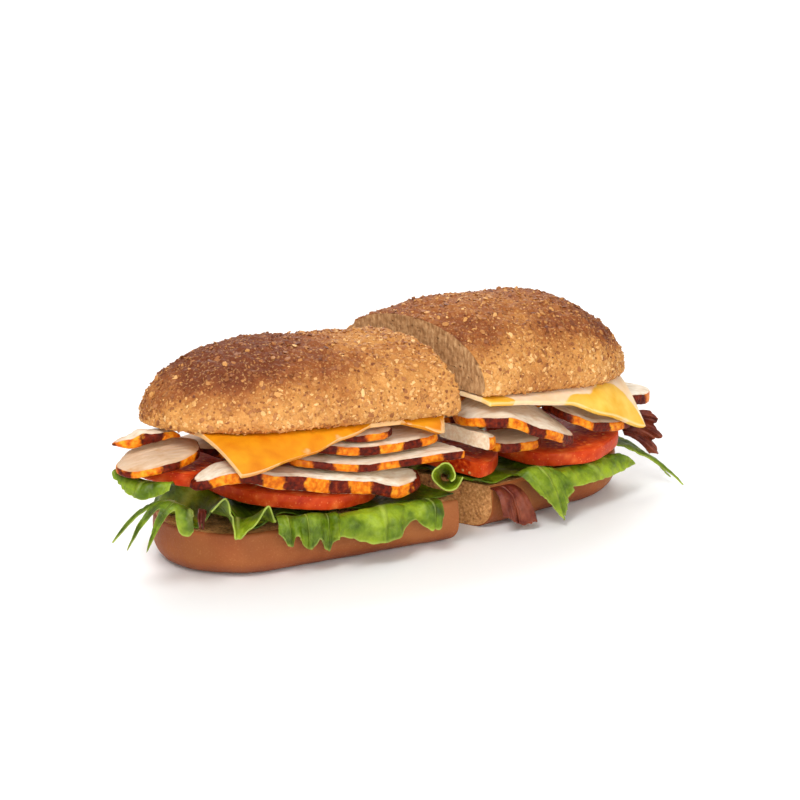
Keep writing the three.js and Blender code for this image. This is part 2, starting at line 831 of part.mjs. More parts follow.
// The bed is one crumpled leaf right through each half, between the heel and what lies on the lettuce;
// ceiling is the height it has room for, at stations out from the cut.
function bedLeaf(half, { reach, width, ceiling, wavelength }) {
  const room = through(ceiling);
  const lowest = HEEL.height + GAP + LEAF_THICK / 2;
  const middle = (u, v) => {
    const across = mix(-width, width, v);
    const out = mix(cutLine(half, across) - 1, reach, u);
    const near = across * Math.max(0.45, endShare(out, HEEL));
    const wave = Math.sin((2 * Math.PI * out) / wavelength + 1.1 * Math.sin(near / 8));
    return [out, near, mix(lowest + 0.2, room(out), 0.5 + 0.5 * wave)];
  };
  return sheet(half, 18, 5, middle, LEAF_THICK);
}
const bedOf = {
  left: {
    reach: 112,
    width: 34,
    ceiling: [[0, 22.6], [16, 22.8], [54, 25.6], [86, 28.5], [98, 34], [112, 38.5]],
    wavelength: 29,
  },
  right: {
    reach: 82,
    width: 33,
    ceiling: [[-12, 27.6], [5, 26.2], [40, 23.2], [83, 23.4]],
    wavelength: 25,
  },
};
add(LEFT, "left_leaf_bed", bedLeaf(LEFT, bedOf.left), COLOURS.lettuce, 0.5);
add(RIGHT, "right_leaf_bed", bedLeaf(RIGHT, bedOf.right), COLOURS.lettuce, 0.5);

// The curl is a leaf rolled round its own rib, its mouth open towards the front left.
function curledLeaf(half, { from, to, narrow, wide, opens, start, turns }) {
  const root = new THREE.Vector3(...from);
  const rib = new THREE.Vector3(...to).sub(root);
  const across = new THREE.Vector3(0, 0, 1).cross(rib).normalize();
  const above = rib.clone().cross(across).normalize();
  const middle = (u, v) => {
    const angle = 2 * Math.PI * (start + turns * u);
    const radius = mix(narrow, wide, v) * (1 + opens * u ** 2);
    const point = root.clone().addScaledVector(rib, v);
    point.addScaledVector(across, radius * Math.cos(angle));
    return point.addScaledVector(above, radius * Math.sin(angle)).toArray();
  };
  return sheet(half, 16, 3, middle, LEAF_THICK);
}
const curl = curledLeaf(LEFT, {
  from: [-8, 36, 32.5],
  to: [-2.5, 47, 37.5],
  narrow: 1.6,
  wide: 4,
  opens: 1.1,
  start: -0.15,
  turns: 1.12,
});
add(LEFT, "left_leaf_curl", curl, COLOURS.lettuce, 0.5);

const sub = new THREE.Group();
sub.name = "chicken_sub";
sub.add(LEFT.group, RIGHT.group);

// The origin is the middle of the whole sub's box, on the surface that it rests on.
const box = new THREE.Box3().setFromObject(sub, true);
const centre = box.getCenter(new THREE.Vector3());
sub.position.set(-centre.x, -centre.y, -box.min.z);
sub.updateMatrixWorld(true);

export default sub;
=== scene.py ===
import math

import bpy
import numpy as np
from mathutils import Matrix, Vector, noise


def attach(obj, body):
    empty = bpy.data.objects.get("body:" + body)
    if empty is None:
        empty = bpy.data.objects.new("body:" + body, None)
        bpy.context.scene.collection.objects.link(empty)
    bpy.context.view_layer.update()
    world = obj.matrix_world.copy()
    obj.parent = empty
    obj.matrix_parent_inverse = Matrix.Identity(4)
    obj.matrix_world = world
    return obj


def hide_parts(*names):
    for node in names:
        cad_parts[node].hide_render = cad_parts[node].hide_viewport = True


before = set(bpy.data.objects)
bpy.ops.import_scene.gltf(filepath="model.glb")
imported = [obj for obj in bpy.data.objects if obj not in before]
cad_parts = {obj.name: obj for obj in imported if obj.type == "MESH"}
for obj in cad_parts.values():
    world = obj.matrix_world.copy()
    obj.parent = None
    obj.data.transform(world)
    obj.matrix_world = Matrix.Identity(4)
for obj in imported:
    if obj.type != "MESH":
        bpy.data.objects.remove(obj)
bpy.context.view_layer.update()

# ------------------------------------------------------------------ view, floor and light
# The view is the photograph's: a long lens, low and from the left of the front. A pale seamless
# floor and large soft lamps, the strongest high on the left, give the even light of a menu picture.
view = bpy.data.objects.new("view", bpy.data.cameras.new("view"))
bpy.context.collection.objects.link(view)
view.data.lens = 100
view.data.sensor_width = 36
view.data.clip_end = 20
view.location = (-0.5138, -0.8310, 0.3526)
down = math.radians(16.72)
heading = (0.5299, 0.848)
ahead = Vector((heading[0] * math.cos(down), heading[1] * math.cos(down), -math.sin(down)))
view.rotation_euler = ahead.to_track_quat("-Z", "Y").to_euler()
bpy.context.scene.camera = view
bpy.context.scene.view_settings.view_transform = "Standard"

bpy.ops.object.select_all(action="DESELECT")
bpy.ops.mesh.primitive_grid_add(x_subdivisions=8, y_subdivisions=8, size=6, location=(0, 1, 0))
floor = bpy.context.object
floor.name = "floor"
pale = bpy.data.materials.new("pale_floor")
pale.use_nodes = True
surface = pale.node_tree.nodes["Principled BSDF"].inputs
surface["Base Color"].default_value = (0.95, 0.95, 0.94, 1)
surface["Roughness"].default_value = 0.6
floor.data.materials.append(pale)

world = bpy.data.worlds.new("studio")
world.use_nodes = True
sky = world.node_tree.nodes["Background"].inputs
sky["Color"].default_value = (1, 1, 1, 1)
sky["Strength"].default_value = 0.6
bpy.context.scene.world = world


def softbox(name, place, aim, size, power):
    """A square lamp of that size in metres and power in watts, which faces the spot it is aimed at."""
    lamp = bpy.data.objects.new(name, bpy.data.lights.new(name, "AREA"))
    bpy.context.collection.objects.link(lamp)
    lamp.data.shape = "SQUARE"
    lamp.data.size = size
    lamp.data.energy = power
    lamp.location = place
    lamp.rotation_euler = (Vector(aim) - Vector(place)).to_track_quat("-Z", "Y").to_euler()


FILLING = (0, 0, 0.05)
softbox("key", (-0.75, -0.55, 1.15), FILLING, 0.45, 11)
softbox("front", (-0.25, -1.3, 0.5), FILLING, 0.8, 8)
softbox("back", (0.6, 0.9, 0.9), FILLING, 0.8, 3)
softbox("far_floor", (1.1, 2.0, 2.0), (1.1, 2.0, 0), 2.0, 40)


# ------------------------------------------------------------------ crowns
# The crown is the top of the roll: bran dough, proved long and round and baked till its top browned,
# then halved lengthwise and cut across with the filling. The knife pressed the right half's edge.

# Each half is laid out from its own cut, in mm and degrees: side is its direction along the roll, cut
# the middle of its cut face, turn the way its axis swings and bias the knife's angle. The crown's flat
# underside is at rim there, and slopes by rise outwards and by lean towards the front. press is the
# share of height lost under the knife and swell what it gained beyond. The heel lies heel_shift from
# the crown, out and forwards, and heel_trim is how much further out and at what more bias it is cut.
LEFT = {
    "name": "left",
    "side": -1,
    "cut": (-6.2, 0),
    "turn": -5.15,
    "bias": 20.3,
    "rim": 60,
    "rise": 0.047,
    "lean": 0.043,
    "press": 0.02,
    "swell": 0,
    "heel_shift": (0.3, 1.2),
    "heel_trim": (0, 0),
}
RIGHT = {
    "name": "right",
    "side": 1,
    "cut": (4.7, 0),
    "turn": 5.04,
    "bias": 16,
    "rim": 69.4,
    "rise": -0.097,
    "lean": -0.059,
    "press": 0.17,
    "swell": 2.2,
    "heel_shift": (0.5, -3.1),
    "heel_trim": (4, 6),
}
MIDDLE = (6.692, -1.948)  # moves the whole sub's middle to the origin

# width is the half width, and taper the length of the rounded end, whose outline has that power.
CROWN = {"width": 40, "height": 33.5, "length": 121.3, "taper": 53.7, "power": 1.87}
RIM_HEIGHT = 4.5
RIM_TUCK = 3.5
PRESSED_LENGTH = 24


def lay(half, out, near, up):
    """Points in metres from a half's own measures in mm: out from the cut, near to the front, up."""
    turn = math.radians(half["turn"])
    x = half["side"] * np.asarray(out, float)
    y = -np.asarray(near, float)
    across = x * math.cos(turn) - y * math.sin(turn) + half["cut"][0] + MIDDLE[0]
    along = x * math.sin(turn) + y * math.cos(turn) + half["cut"][1] + MIDDLE[1]
    return np.stack(np.broadcast_arrays(across, along, up), -1) / 1000


def cut_line(half, near, more=0):
    """How far out the cut lies, at so many more degrees of bias."""
    return half["side"] * near * math.tan(math.radians(half["bias"] + more))


def under_crown(half, out, near):
    """The height of the crown's flat underside."""
    return half["rim"] + half["rise"] * out + half["lean"] * near


def smooth(x):
    """0 below 0, 1 above 1 and a smooth slope between."""
    share = np.clip(x, 0, 1)
    return share**2 * (3 - 2 * share)


def mix(a, b, share):
    return a + (b - a) * share


def end_share(out, bread):
    """The share of its full width that a bread still has at its rounded end."""
    share = np.clip((out - (bread["length"] - bread["taper"])) / bread["taper"], 0, 1)
    return (1 - share ** bread["power"]) ** (1 / bread["power"])


def rough(points, size, octaves, seed):
    """Smooth random heights, about -1 to 1, with features of that size in mm, at points in metres."""
    shift = Vector((seed * 7.31, seed * 3.17, seed * 5.73))
    scale = 1000 / size
    return np.array([noise.fractal(Vector(p) * scale + shift, 0.9, 2.0, octaves) for p in points])


def places(piece):
    flat = np.zeros(len(piece.data.vertices) * 3, np.float32)
    piece.data.vertices.foreach_get("co", flat)
    return flat.reshape(-1, 3).astype(float)


def put(piece, points):
    piece.data.vertices.foreach_set("co", np.ascontiguousarray(points, np.float32).ravel())
    piece.data.update()


def normals(piece):
    flat = np.zeros(len(piece.data.vertices) * 3, np.float32)
    piece.data.vertex_normals.foreach_get("vector", flat)
    return flat.reshape(-1, 3).astype(float)


def note(piece, name, values):
    """Keeps one number for each of the piece's points, for its material."""
    kept = piece.data.attributes.new(name, "FLOAT", "POINT")
    kept.data.foreach_set("value", np.ascontiguousarray(values, np.float32))


def noted(piece, name):
    values = np.zeros(len(piece.data.vertices), np.float32)
    piece.data.attributes[name].data.foreach_get("value", values)
    return values


def ball(name, around, rings):
    """A sphere to be shaped, with each point's ring and its share of the way round."""
    bpy.ops.object.select_all(action="DESELECT")
    bpy.ops.mesh.primitive_uv_sphere_add(segments=around, ring_count=rings, radius=1)
    piece = bpy.context.object
    piece.name = name
    x, y, z = places(piece).T
    ring = np.rint(np.arccos(np.clip(z, -1, 1)) / math.pi * rings)
    segment = np.rint(np.arctan2(y, x) / (2 * math.pi) * around) % around
    return piece, ring, segment / around


def grid(name, along, across):
    """A flat grid to be shaped, with each point's share along and across it."""
    bpy.ops.object.select_all(action="DESELECT")
    bpy.ops.mesh.primitive_grid_add(x_subdivisions=along, y_subdivisions=across, size=1)
    piece = bpy.context.object
    piece.name = name
    x, y, _ = places(piece).T
    return piece, np.clip(x + 0.5, 0, 1), np.clip(y + 0.5, 0, 1)


def pick(piece):
    """Selects this piece alone."""
    bpy.ops.object.select_all(action="DESELECT")
    bpy.context.view_layer.objects.active = piece
    piece.select_set(True)


def face_out(piece):
    """Turns every face of a closed piece outwards."""
    pick(piece)
    bpy.ops.object.mode_set(mode="EDIT")
    bpy.ops.mesh.select_all(action="SELECT")
    bpy.ops.mesh.normals_make_consistent(inside=False)
    bpy.ops.object.mode_set(mode="OBJECT")


def apply(piece, kind, **settings):
    """Adds a modifier with these settings and applies it."""
    bpy.context.view_layer.objects.active = piece
    made = piece.modifiers.new(kind.lower(), kind)
    for key, value in settings.items():
        setattr(made, key, value)
    bpy.ops.object.modifier_apply(modifier=made.name)


def shade(piece, angle):
    pick(piece)
    bpy.ops.object.shade_smooth_by_angle(angle=math.radians(angle))


class Value:
    """A node's output that takes part in plain maths."""

    def __init__(self, finish, socket):
        self.finish = finish
        self.socket = socket

    def maths(self, operation, *values):
        return self.finish.node("ShaderNodeMath", {"operation": operation}, dict(enumerate(values)))

    def __add__(self, other):
        return self.maths("ADD", self, other)

    def __sub__(self, other):
        return self.maths("SUBTRACT", self, other)

    def __rsub__(self, other):
        return self.maths("SUBTRACT", other, self)

    def __mul__(self, other):
        return self.maths("MULTIPLY", self, other)

    __radd__ = __add__
    __rmul__ = __mul__

    def sine(self):
        return self.maths("SINE", self)

    def size(self):
        return self.maths("ABSOLUTE", self)

    def step(self, low, high):
        """0 below low, 1 above high and a smooth slope between."""
        inputs = {"Value": self, "From Min": low, "From Max": high}
        return self.finish.node("ShaderNodeMapRange", {"interpolation_type": "SMOOTHSTEP"}, inputs)


class Finish:
    """A material and its nodes."""

    def __init__(self, name, **constants):
        self.material = bpy.data.materials.new(name)
        self.material.use_nodes = True
        self.tree = self.material.node_tree
        self.shader = self.tree.nodes["Principled BSDF"]
        for socket, value in constants.items():
            self.shader.inputs[socket.replace("_", " ")].default_value = value

    def link(self, value, socket):
        if isinstance(value, Value):
            self.tree.links.new(value.socket, socket)
        else:
            socket.default_value = value

    def node(self, kind, settings=None, inputs=None, output=0):
        made = self.tree.nodes.new(kind)
        for key, value in (settings or {}).items():
            if key == "stops":
                ramp = made.color_ramp
                while len(ramp.elements) < len(value):
                    ramp.elements.new(0.5)
                for element, (position, colour) in zip(ramp.elements, value):
                    element.position = position
                    element.color = colour
            else:
                setattr(made, key, value)
        for key, value in (inputs or {}).items():
            self.link(value, made.inputs[key])
        return Value(self, made.outputs[output])

    def coordinates(self, stretch=(1, 1, 1)):
        spot = self.node("ShaderNodeTexCoord", output=3)
        return self.node("ShaderNodeMapping", inputs={"Vector": spot, "Scale": stretch})

    def kept(self, name):
        """The numbers that note keeps."""
        return self.node("ShaderNodeAttribute", {"attribute_name": name}, output=2)

    def grain(self, size, detail=3, where=None):
        """Noise with features of that size in mm."""
        inputs = {"Vector": where or self.coordinates(), "Scale": 1000 / size, "Detail": detail}
        return self.node("ShaderNodeTexNoise", inputs=inputs)

    def cells(self, size, feature="F1"):
        """The distance from the middle, or the edge, of cells of that size in mm."""
        inputs = {"Vector": self.coordinates(), "Scale": 1000 / size}
        return self.node("ShaderNodeTexVoronoi", {"feature": feature}, inputs)

    def ramp(self, value, *stops):
        return self.node("ShaderNodeValToRGB", {"stops": stops}, {"Fac": value})

    def blend(self, share, a, b):
        """Colour a where the share is 0, and b where it is 1."""
        return self.node("ShaderNodeMix", {"data_type": "RGBA"}, {0: share, 6: a, 7: b}, output=2)

    def wear(self, colour, relief, depth, roughness=None):
        """Feeds the shader; relief is a height, and depth what a height of 1 is in mm."""
        self.link(colour, self.shader.inputs["Base Color"])
        if roughness is not None:
            self.link(roughness, self.shader.inputs["Roughness"])
        inputs = {"Height": relief, "Distance": depth / 1000, "Strength": 1.0}
        self.link(self.node("ShaderNodeBump", inputs=inputs), self.shader.inputs["Normal"])


def paint(red, green, blue):
    """A colour as seen on a screen, 0 to 255, for a shader."""
    seen = np.array([red, green, blue]) / 255
    return (*np.where(seen < 0.04045, seen / 12.92, ((seen + 0.055) / 1.055) ** 2.4), 1)


crust = Finish("bran_crust", Roughness=0.62, Specular_IOR_Level=0.2)
bake = crust.kept("bake") + (crust.grain(7, 4) - 0.5) * 0.6
baked = crust.ramp(
    bake,
    (0.0, paint(214, 154, 84)),
    (0.3, paint(198, 136, 70)),
    (0.52, paint(172, 108, 52)),
    (0.75, paint(142, 78, 36)),
    (1.0, paint(112, 54, 24)),
)
speck = crust.grain(1.1, 2).step(0.55, 0.7)
# Small pits of the crust are painted dark brown: painted shade in the pits.
pit_shade = crust.cells(2.4).step(0.34, 0.16) * crust.grain(5).step(0.46, 0.58)
mottled = crust.blend(speck * 0.4, baked, paint(232, 180, 112))
mottled = crust.blend(pit_shade * 0.75, mottled, paint(104, 52, 24))
fibres = crust.grain(1.3, 4, crust.coordinates((1, 1, 0.4)))
holes = crust.cells(2.4).step(0.3, 0.12) * crust.grain(4).step(0.45, 0.6)
inside = crust.ramp(
    fibres, (0.3, paint(146, 102, 62)), (0.52, paint(176, 130, 86)), (0.7, paint(202, 158, 110))
)
# The crumb's holes are painted darker: painted shade inside them, on top of their bump.
inside = crust.blend(holes * 0.35, inside, paint(124, 82, 46))
open_bread = (crust.kept("crumb") + (crust.grain(2.5) - 0.5) * 0.9).step(0.4, 0.6)
relief = mix(crust.grain(1.2, 4) * 0.7 + crust.cells(2.0) * 0.5, fibres * 0.7 - holes * 0.5, open_bread)
crust.wear(crust.blend(open_bread, mottled, inside), relief=relief, depth=0.8)


# The way round a crown's section: over the dome, round the back edge, under it and round the front.
DOME_RUN = 0.62
EDGE_RUN = 0.03
UNDER_RUN = 0.32
UNDER_START = DOME_RUN + EDGE_RUN
UNDER_END = UNDER_START + UNDER_RUN
LUMP = 0.35  # how far the crust swells and dips


def crown_at(half, s, share):
    """The crown's skin: s runs round it from the front edge, over the dome and back underneath."""
    angle = math.pi * np.clip(s / DOME_RUN, 0, 1)
    back = np.clip((s - DOME_RUN) / EDGE_RUN, 0, 1) * math.pi / 2
    under = np.clip((s - UNDER_START) / UNDER_RUN, 0, 1)
    front = np.clip((s - UNDER_END) / EDGE_RUN, 0, 1) * math.pi / 2
    part = [s < DOME_RUN, s < UNDER_START, s < UNDER_END]
    flat = CROWN["width"] - RIM_TUCK
    wide = [np.cos(angle) * CROWN["width"], -flat - RIM_TUCK * np.cos(back), mix(-flat, flat, under)]
    wide = np.select(part, wide, flat + RIM_TUCK * np.sin(front))
    rims = [RIM_HEIGHT + 0 * s, RIM_HEIGHT * (1 - np.sin(back)), 0 * s]
    rim = np.select(part, rims, RIM_HEIGHT * (1 - np.cos(front)))
    start = cut_line(half, wide)
    out = mix(start, CROWN["length"], share)
    narrow = end_share(out, CROWN)
    seed = half["side"] + 2
    wave = np.sin(out * 0.11 + seed) * np.sin(angle * 3 + seed * 2)
    lump = LUMP * (wave + 0.6 * np.sin(out * 0.23 + angle * 5 + seed * 3)) * np.sin(angle) * narrow
    near = (wide + lump * np.cos(angle)) * narrow
    pressed = half["press"] * (1 - smooth((out - cut_line(half, near)) / PRESSED_LENGTH))
    bulge = half["swell"] * np.sin(math.pi * np.clip(out / CROWN["length"], 0, 1))
    dome = (CROWN["height"] + bulge - RIM_HEIGHT) * (1 - pressed) + lump
    up = (rim + dome * np.sin(angle)) * narrow
    return out, near, under_crown(half, out, near) + up, np.sin(angle)


def browning(half, out, near, high):
    """How far the crust has browned: most on top, and on the left half's outer shoulder."""
    top = smooth((high - 0.38) / 0.5)
    if half is LEFT:
        shoulder = np.exp(-(((out - 80) / 30) ** 2)) * smooth((high - 0.12) / 0.3)
        top *= mix(0.7, 1, smooth(out / 40))
        return 0.24 + 0.42 * top + 0.32 * shoulder - 0.1 * smooth((out - 104) / 14)
    right_patch = np.exp(-(((out - 88) / 18) ** 2)) * high
    return 0.2 + 0.52 * smooth((high - 0.3) / 0.45) + 0.14 * right_patch


def along_bread(ring, face_rings, rings, halfway):
    """Each ring's share of the length: 0 on the cut face, and closer together at the rounded end."""
    run = np.clip((ring - face_rings) / (rings - face_rings), 0, 1)
    slowing = halfway + (1 - halfway) * np.sin(math.pi * (run - 0.5))
    return np.where(ring <= face_rings, 0, np.where(run < 0.5, 2 * halfway * run, slowing))


CROWN_RINGS = 220
CROWN_FACE_RINGS = 30  # those that fill the cut face
CROWN_AROUND = 240
# The cut's edge is slightly rounded: ring by ring, how far it reaches from the cut face's middle.
CUT_EDGE_RINGS = [0, 28, 30, 31, 32, 34]
CUT_EDGE_REACH = [0, 0.94, 0.972, 0.986, 0.994, 1]
for half in (LEFT, RIGHT):
    crown, ring, s = ball(f"{half['name']}_crown_bread", CROWN_AROUND, CROWN_RINGS)
    share = along_bread(ring, CROWN_FACE_RINGS, CROWN_RINGS, 0.56)
    out, near, up, high = crown_at(half, s, share)
    skin = lay(half, out, near, up)
    middle = lay(half, 0, 0, under_crown(half, 0, 0) + 0.45 * CROWN["height"])
    put(crown, mix(middle, skin, np.interp(ring, CUT_EDGE_RINGS, CUT_EDGE_REACH)[:, None]))
    face_out(crown)
    underneath = (s > UNDER_START) & (s < UNDER_END)
    crumb = np.where((ring < CROWN_FACE_RINGS) | underneath, 1.0, 0.0)
    at = places(crown)
    crusty = 0.5 * rough(at, 8, 3, 1) + 1.1 * rough(at, 3.2, 3, 2)
    crumbly = 0.45 * rough(at, 3.0, 4, 3)
    height = np.where(crumb > 0.5, crumbly, crusty * mix(0.45, 1, smooth(high / 0.3)))
    height = height * np.where(ring > CROWN_RINGS - 2, 0.3, 1)
    put(crown, at + normals(crown) * height[:, None] / 1000)
    note(crown, "crumb", crumb)
    patches = 0.3 * rough(at, 34, 2, 4) + 0.1 * rough(at, 9, 2, 5)
    browned = browning(half, out, near, high) + patches
    note(crown, "bake", browned)
    # Blender numbers a sphere's points in another order each time, so the flakes' places are noted
    # ring by ring, without the two ends, each with the room that it has for flakes.
    order = np.lexsort((s, ring))[1:-1]
    loops = skin[order].reshape(CROWN_RINGS - 1, CROWN_AROUND, 3)
    aside = np.roll(loops, -1, 1) - np.roll(loops, 1, 1)
    area = np.linalg.norm(np.cross(np.gradient(loops, axis=0), aside), axis=2).ravel()
    half["browned"] = browned[order]
    half["room"] = area * (crumb[order] == 0) * (1.15 - np.clip(browned[order], 0, 0.8))
    half["order"] = order
    crown.data.materials.append(crust.material)
    shade(crown, 50)
    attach(crown, "root")
    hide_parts(f"{half['name']}_crown")
    half["crown"] = crown

# Bran flakes and coarse meal are rolled on the wet dough and baked into the crust of both crowns.
bran = Finish("bran_flakes", Roughness=0.5, Specular_IOR_Level=0.3)
tint = bran.kept("tint") + (bran.grain(0.7) - 0.5) * 0.3
bran.wear(
    bran.ramp(
        tint,
        (0.0, paint(108, 54, 24)),
        (0.35, paint(160, 98, 48)),
        (0.65, paint(204, 144, 76)),
        (1.0, paint(234, 186, 122)),
    ),
    relief=bran.grain(0.4),
    depth=0.1,
)
# How many lie on each crown, and half their length, width and thickness in mm.
FLAKES = [("bran_flakes", 1500, (1.2, 0.8, 0.3)), ("coarse_meal", 3000, (0.55, 0.45, 0.28))]
FLAKE_TILT = 0.22
FLAKE_SPREAD = 0.26  # of their sizes
FLAKE_LIFT = 0.12  # of its thickness, its middle above the crust

for name, count, size in FLAKES:
    bpy.ops.object.select_all(action="DESELECT")
    bpy.ops.mesh.primitive_ico_sphere_add(subdivisions=1, radius=1)
    flake = bpy.context.object
    shape = places(flake)
    faces = np.array([list(face.vertices) for face in flake.data.polygons])
    bpy.data.objects.remove(flake)
    for half in (LEFT, RIGHT):
        random = np.random.default_rng(5 + half["side"] + count)
        centres = places(half["crown"])[half["order"]]
        facing = normals(half["crown"])[half["order"]]
        chosen = random.choice(len(centres), count, False, half["room"] / half["room"].sum())
        normal = facing[chosen] + FLAKE_TILT * random.normal(size=(count, 3))
        normal /= np.linalg.norm(normal, axis=1, keepdims=True)
        along = np.cross(normal, random.normal(size=(count, 3)))
        along /= np.linalg.norm(along, axis=1, keepdims=True)
        turns = np.stack([along, np.cross(normal, along), normal], 1)
        sizes = np.array(size) * np.exp(FLAKE_SPREAD * random.uniform(-1.7, 1.7, (count, 1)))
        bent = shape[None] * (1 + random.uniform(-0.3, 0.3, (count, len(shape), 1)))
        points = np.einsum("nvk,nkj->nvj", bent * sizes[:, None], turns) / 1000
        points += (centres[chosen] + FLAKE_LIFT * sizes[:, 2:] * normal / 1000)[:, None]
        joined = bpy.data.meshes.new(f"{half['name']}_{name}")
        corners = faces[None] + np.arange(count)[:, None, None] * len(shape)
        joined.from_pydata(points.reshape(-1, 3).tolist(), [], corners.reshape(-1, 3).tolist())
        scattered = bpy.data.objects.new(joined.name, joined)
        bpy.context.collection.objects.link(scattered)
        browned_there = np.clip(half["browned"][chosen], 0, 1)
        pale_share = 0.74 - 0.55 * browned_there + 0.2 * random.normal(size=count)
        note(scattered, "tint", np.repeat(pale_share, len(shape)))
        joined.materials.append(bran.material)
        shade(scattered, 35)
        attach(scattered, "root")

# ------------------------------------------------------------------ heels
# The heel is the lower half of the roll, baked on the tray: a flat base, a smooth thin brown crust
# with a few dark specks, and open crumb on its top and where the knife went through.
HEEL = {"width": 37.9, "height": 21, "length": 116.6, "taper": 35.2, "power": 1.87}
HEEL_EDGE = 10  # the radius of its long lower edge

base_crust = Finish("heel_crust", Roughness=0.55, Specular_IOR_Level=0.2)
shade_of = base_crust.kept("bake") + (base_crust.grain(16, 4) - 0.5) * 0.6
tanned = base_crust.ramp(
    shade_of,
    (0.0, paint(166, 100, 52)),
    (0.4, paint(146, 78, 39)),
    (0.75, paint(126, 62, 32)),
    (1.0, paint(98, 46, 24)),
)
dots = base_crust.cells(5.5).step(0.14, 0.07) * base_crust.grain(6).step(0.5, 0.62)
tanned = base_crust.blend(dots * 0.7, tanned, paint(84, 40, 22))
tanned = base_crust.blend(base_crust.grain(0.8, 2).step(0.55, 0.8) * 0.4, tanned, paint(190, 126, 72))
threads = base_crust.grain(1.3, 5)
gaps = base_crust.cells(2.6).step(0.34, 0.14) * base_crust.grain(5).step(0.4, 0.6)
soft = base_crust.ramp(
    threads, (0.3, paint(158, 102, 58)), (0.5, paint(196, 138, 82)), (0.7, paint(222, 168, 108))
)
# The crumb's gaps are painted darker: painted shade inside them, on top of their bump.
soft = base_crust.blend(gaps * 0.5, soft, paint(120, 68, 36))
cut_open = (base_crust.kept("crumb") + (base_crust.grain(1.5) - 0.5) * 0.2).step(0.4, 0.6)
relief = mix(base_crust.grain(1.6, 4) * 0.6, threads - gaps, cut_open)
base_crust.wear(base_crust.blend(cut_open, tanned, soft), relief=relief, depth=0.5)


def heel_outline():
    """The heel's section as [near, up, inset at its end], round from the front's top edge."""
    quarter = np.linspace(0, math.pi / 2, 16)
    wide = HEEL["width"]
    high = HEEL["height"]
    side = [(wide - 1.5, high, 1.5), (wide - 0.4, high - 0.6, 0.4), (wide, high * 0.65, 0)]
    for angle in quarter:
        inset = HEEL_EDGE * (1 - math.cos(angle))
        side.append((wide - inset, HEEL_EDGE * (1 - math.sin(angle)), inset))
    points = side + [(-near, up, inset) for near, up, inset in reversed(side)] + [side[0]]
    return np.array(points)


HEEL_RINGS = 170
HEEL_FACE_RINGS = 26
HEEL_AROUND = 220
CLOSED = 0.0005  # the width that is left where the last rings close, for the weld to join
outline = heel_outline()
lengths = np.append(0, np.cumsum(np.linalg.norm(np.diff(outline[:, :2], axis=0), axis=1)))
for half in (LEFT, RIGHT):
    heel, ring, s = ball(f"{half['name']}_heel_bread", HEEL_AROUND, HEEL_RINGS)
    near, up, inset = (np.interp(s, lengths / lengths[-1], column) for column in outline.T)
    pole = ring == HEEL_RINGS
    up[pole] = HEEL["height"] * 0.6
    inset[pole] = 0
    share = along_bread(ring, HEEL_FACE_RINGS, HEEL_RINGS, 0.65)
    trim, more = half["heel_trim"]
    out = mix(trim + cut_line(half, near, more), HEEL["length"] - inset, share)
    narrow = np.where(ring >= HEEL_RINGS - 1, CLOSED, end_share(out + inset, HEEL))
    shift_out, shift_near = half["heel_shift"]
    skin = lay(half, out + shift_out, near * narrow + shift_near, up)
    middle = lay(half, trim + shift_out, shift_near, 11)
    put(heel, mix(middle, skin, np.clip(ring / HEEL_FACE_RINGS, 0, 1)[:, None]))
    face_out(heel)
    top = s > (lengths[-2] / lengths[-1])
    crumb = np.where((ring < HEEL_FACE_RINGS) | top, 1.0, 0.0)
    at = places(heel)
    height = np.where(crumb > 0.5, 0.7 * rough(at, 3.6, 4, 6), 0.3 * rough(at, 14, 3, 7))
    height = np.where((up < 0.3) | (ring >= HEEL_RINGS - 1), 0, height)
    height = np.where(top & (ring >= HEEL_FACE_RINGS), np.minimum(height, 0), height)
    put(heel, at + normals(heel) * height[:, None] / 1000)
    note(heel, "crumb", crumb)
    # The crust's colour varies at random and grows darker towards the bottom, below 9 mm.
    note(heel, "bake", 0.25 + 0.35 * rough(at, 40, 2, 8) + 0.4 * smooth((9 - up) / 9))
    apply(heel, "WELD", merge_threshold=0.00006)
    heel.data.materials.append(base_crust.material)
    shade(heel, 50)
    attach(heel, "root")
    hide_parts(f"{half['name']}_heel")

# ------------------------------------------------------------------ cheese
# One square slice of marbled cheese to each half, laid under the crown. It has softened on the warm
# chicken, so it sags where nothing holds it up and its corners hang.
# In mm: reach is the edge away from the cut, and slant how it leans in; edge is how far the slice comes
# to the front, and drop how far that front edge sags, at places [out from the cut, mm].
CHEESE_THICK = 2.4
CHEESE = {
    "left": {
        "reach": 109,
        "slant": 0.2,
        "back": 42,
        "edge": [[-15, 30], [-4, 39], [6, 38], [13, 35], [26, 35], [40, 40], [70, 46], [97, 54]],
        "drop": [[-14, 8], [-4, 6], [8, 2], [16, 0.5], [28, 0.5], [46, 3.5], [60, 7.5], [97, 11.5]],
        "back_drop": 3,
    },
    "right": {
        "reach": 108,
        "slant": 0.02,
        "back": 42,
        "edge": [[12, 41], [50, 43], [80, 45], [106, 42]],
        "drop": [[12, 1], [30, 1.5], [59, 4], [79, 10.8], [106, 20]],
        "back_drop": 4,
    },
}


def through(stations, x):
    """A smooth height through a few stations [place, height], level past the first and the last."""
    x = np.asarray(x, float)
    knots, heights = np.array(stations, float).T
    if len(knots) == 1:
        return np.full_like(x, heights[0])
    i = np.clip(np.searchsorted(knots, x, side="right") - 1, 0, len(knots) - 2)
    t = np.clip((x - knots[i]) / (knots[i + 1] - knots[i]), 0, 1)
    return mix(heights[i], heights[i + 1], 0.5 * smooth(t) + 0.5 * t)


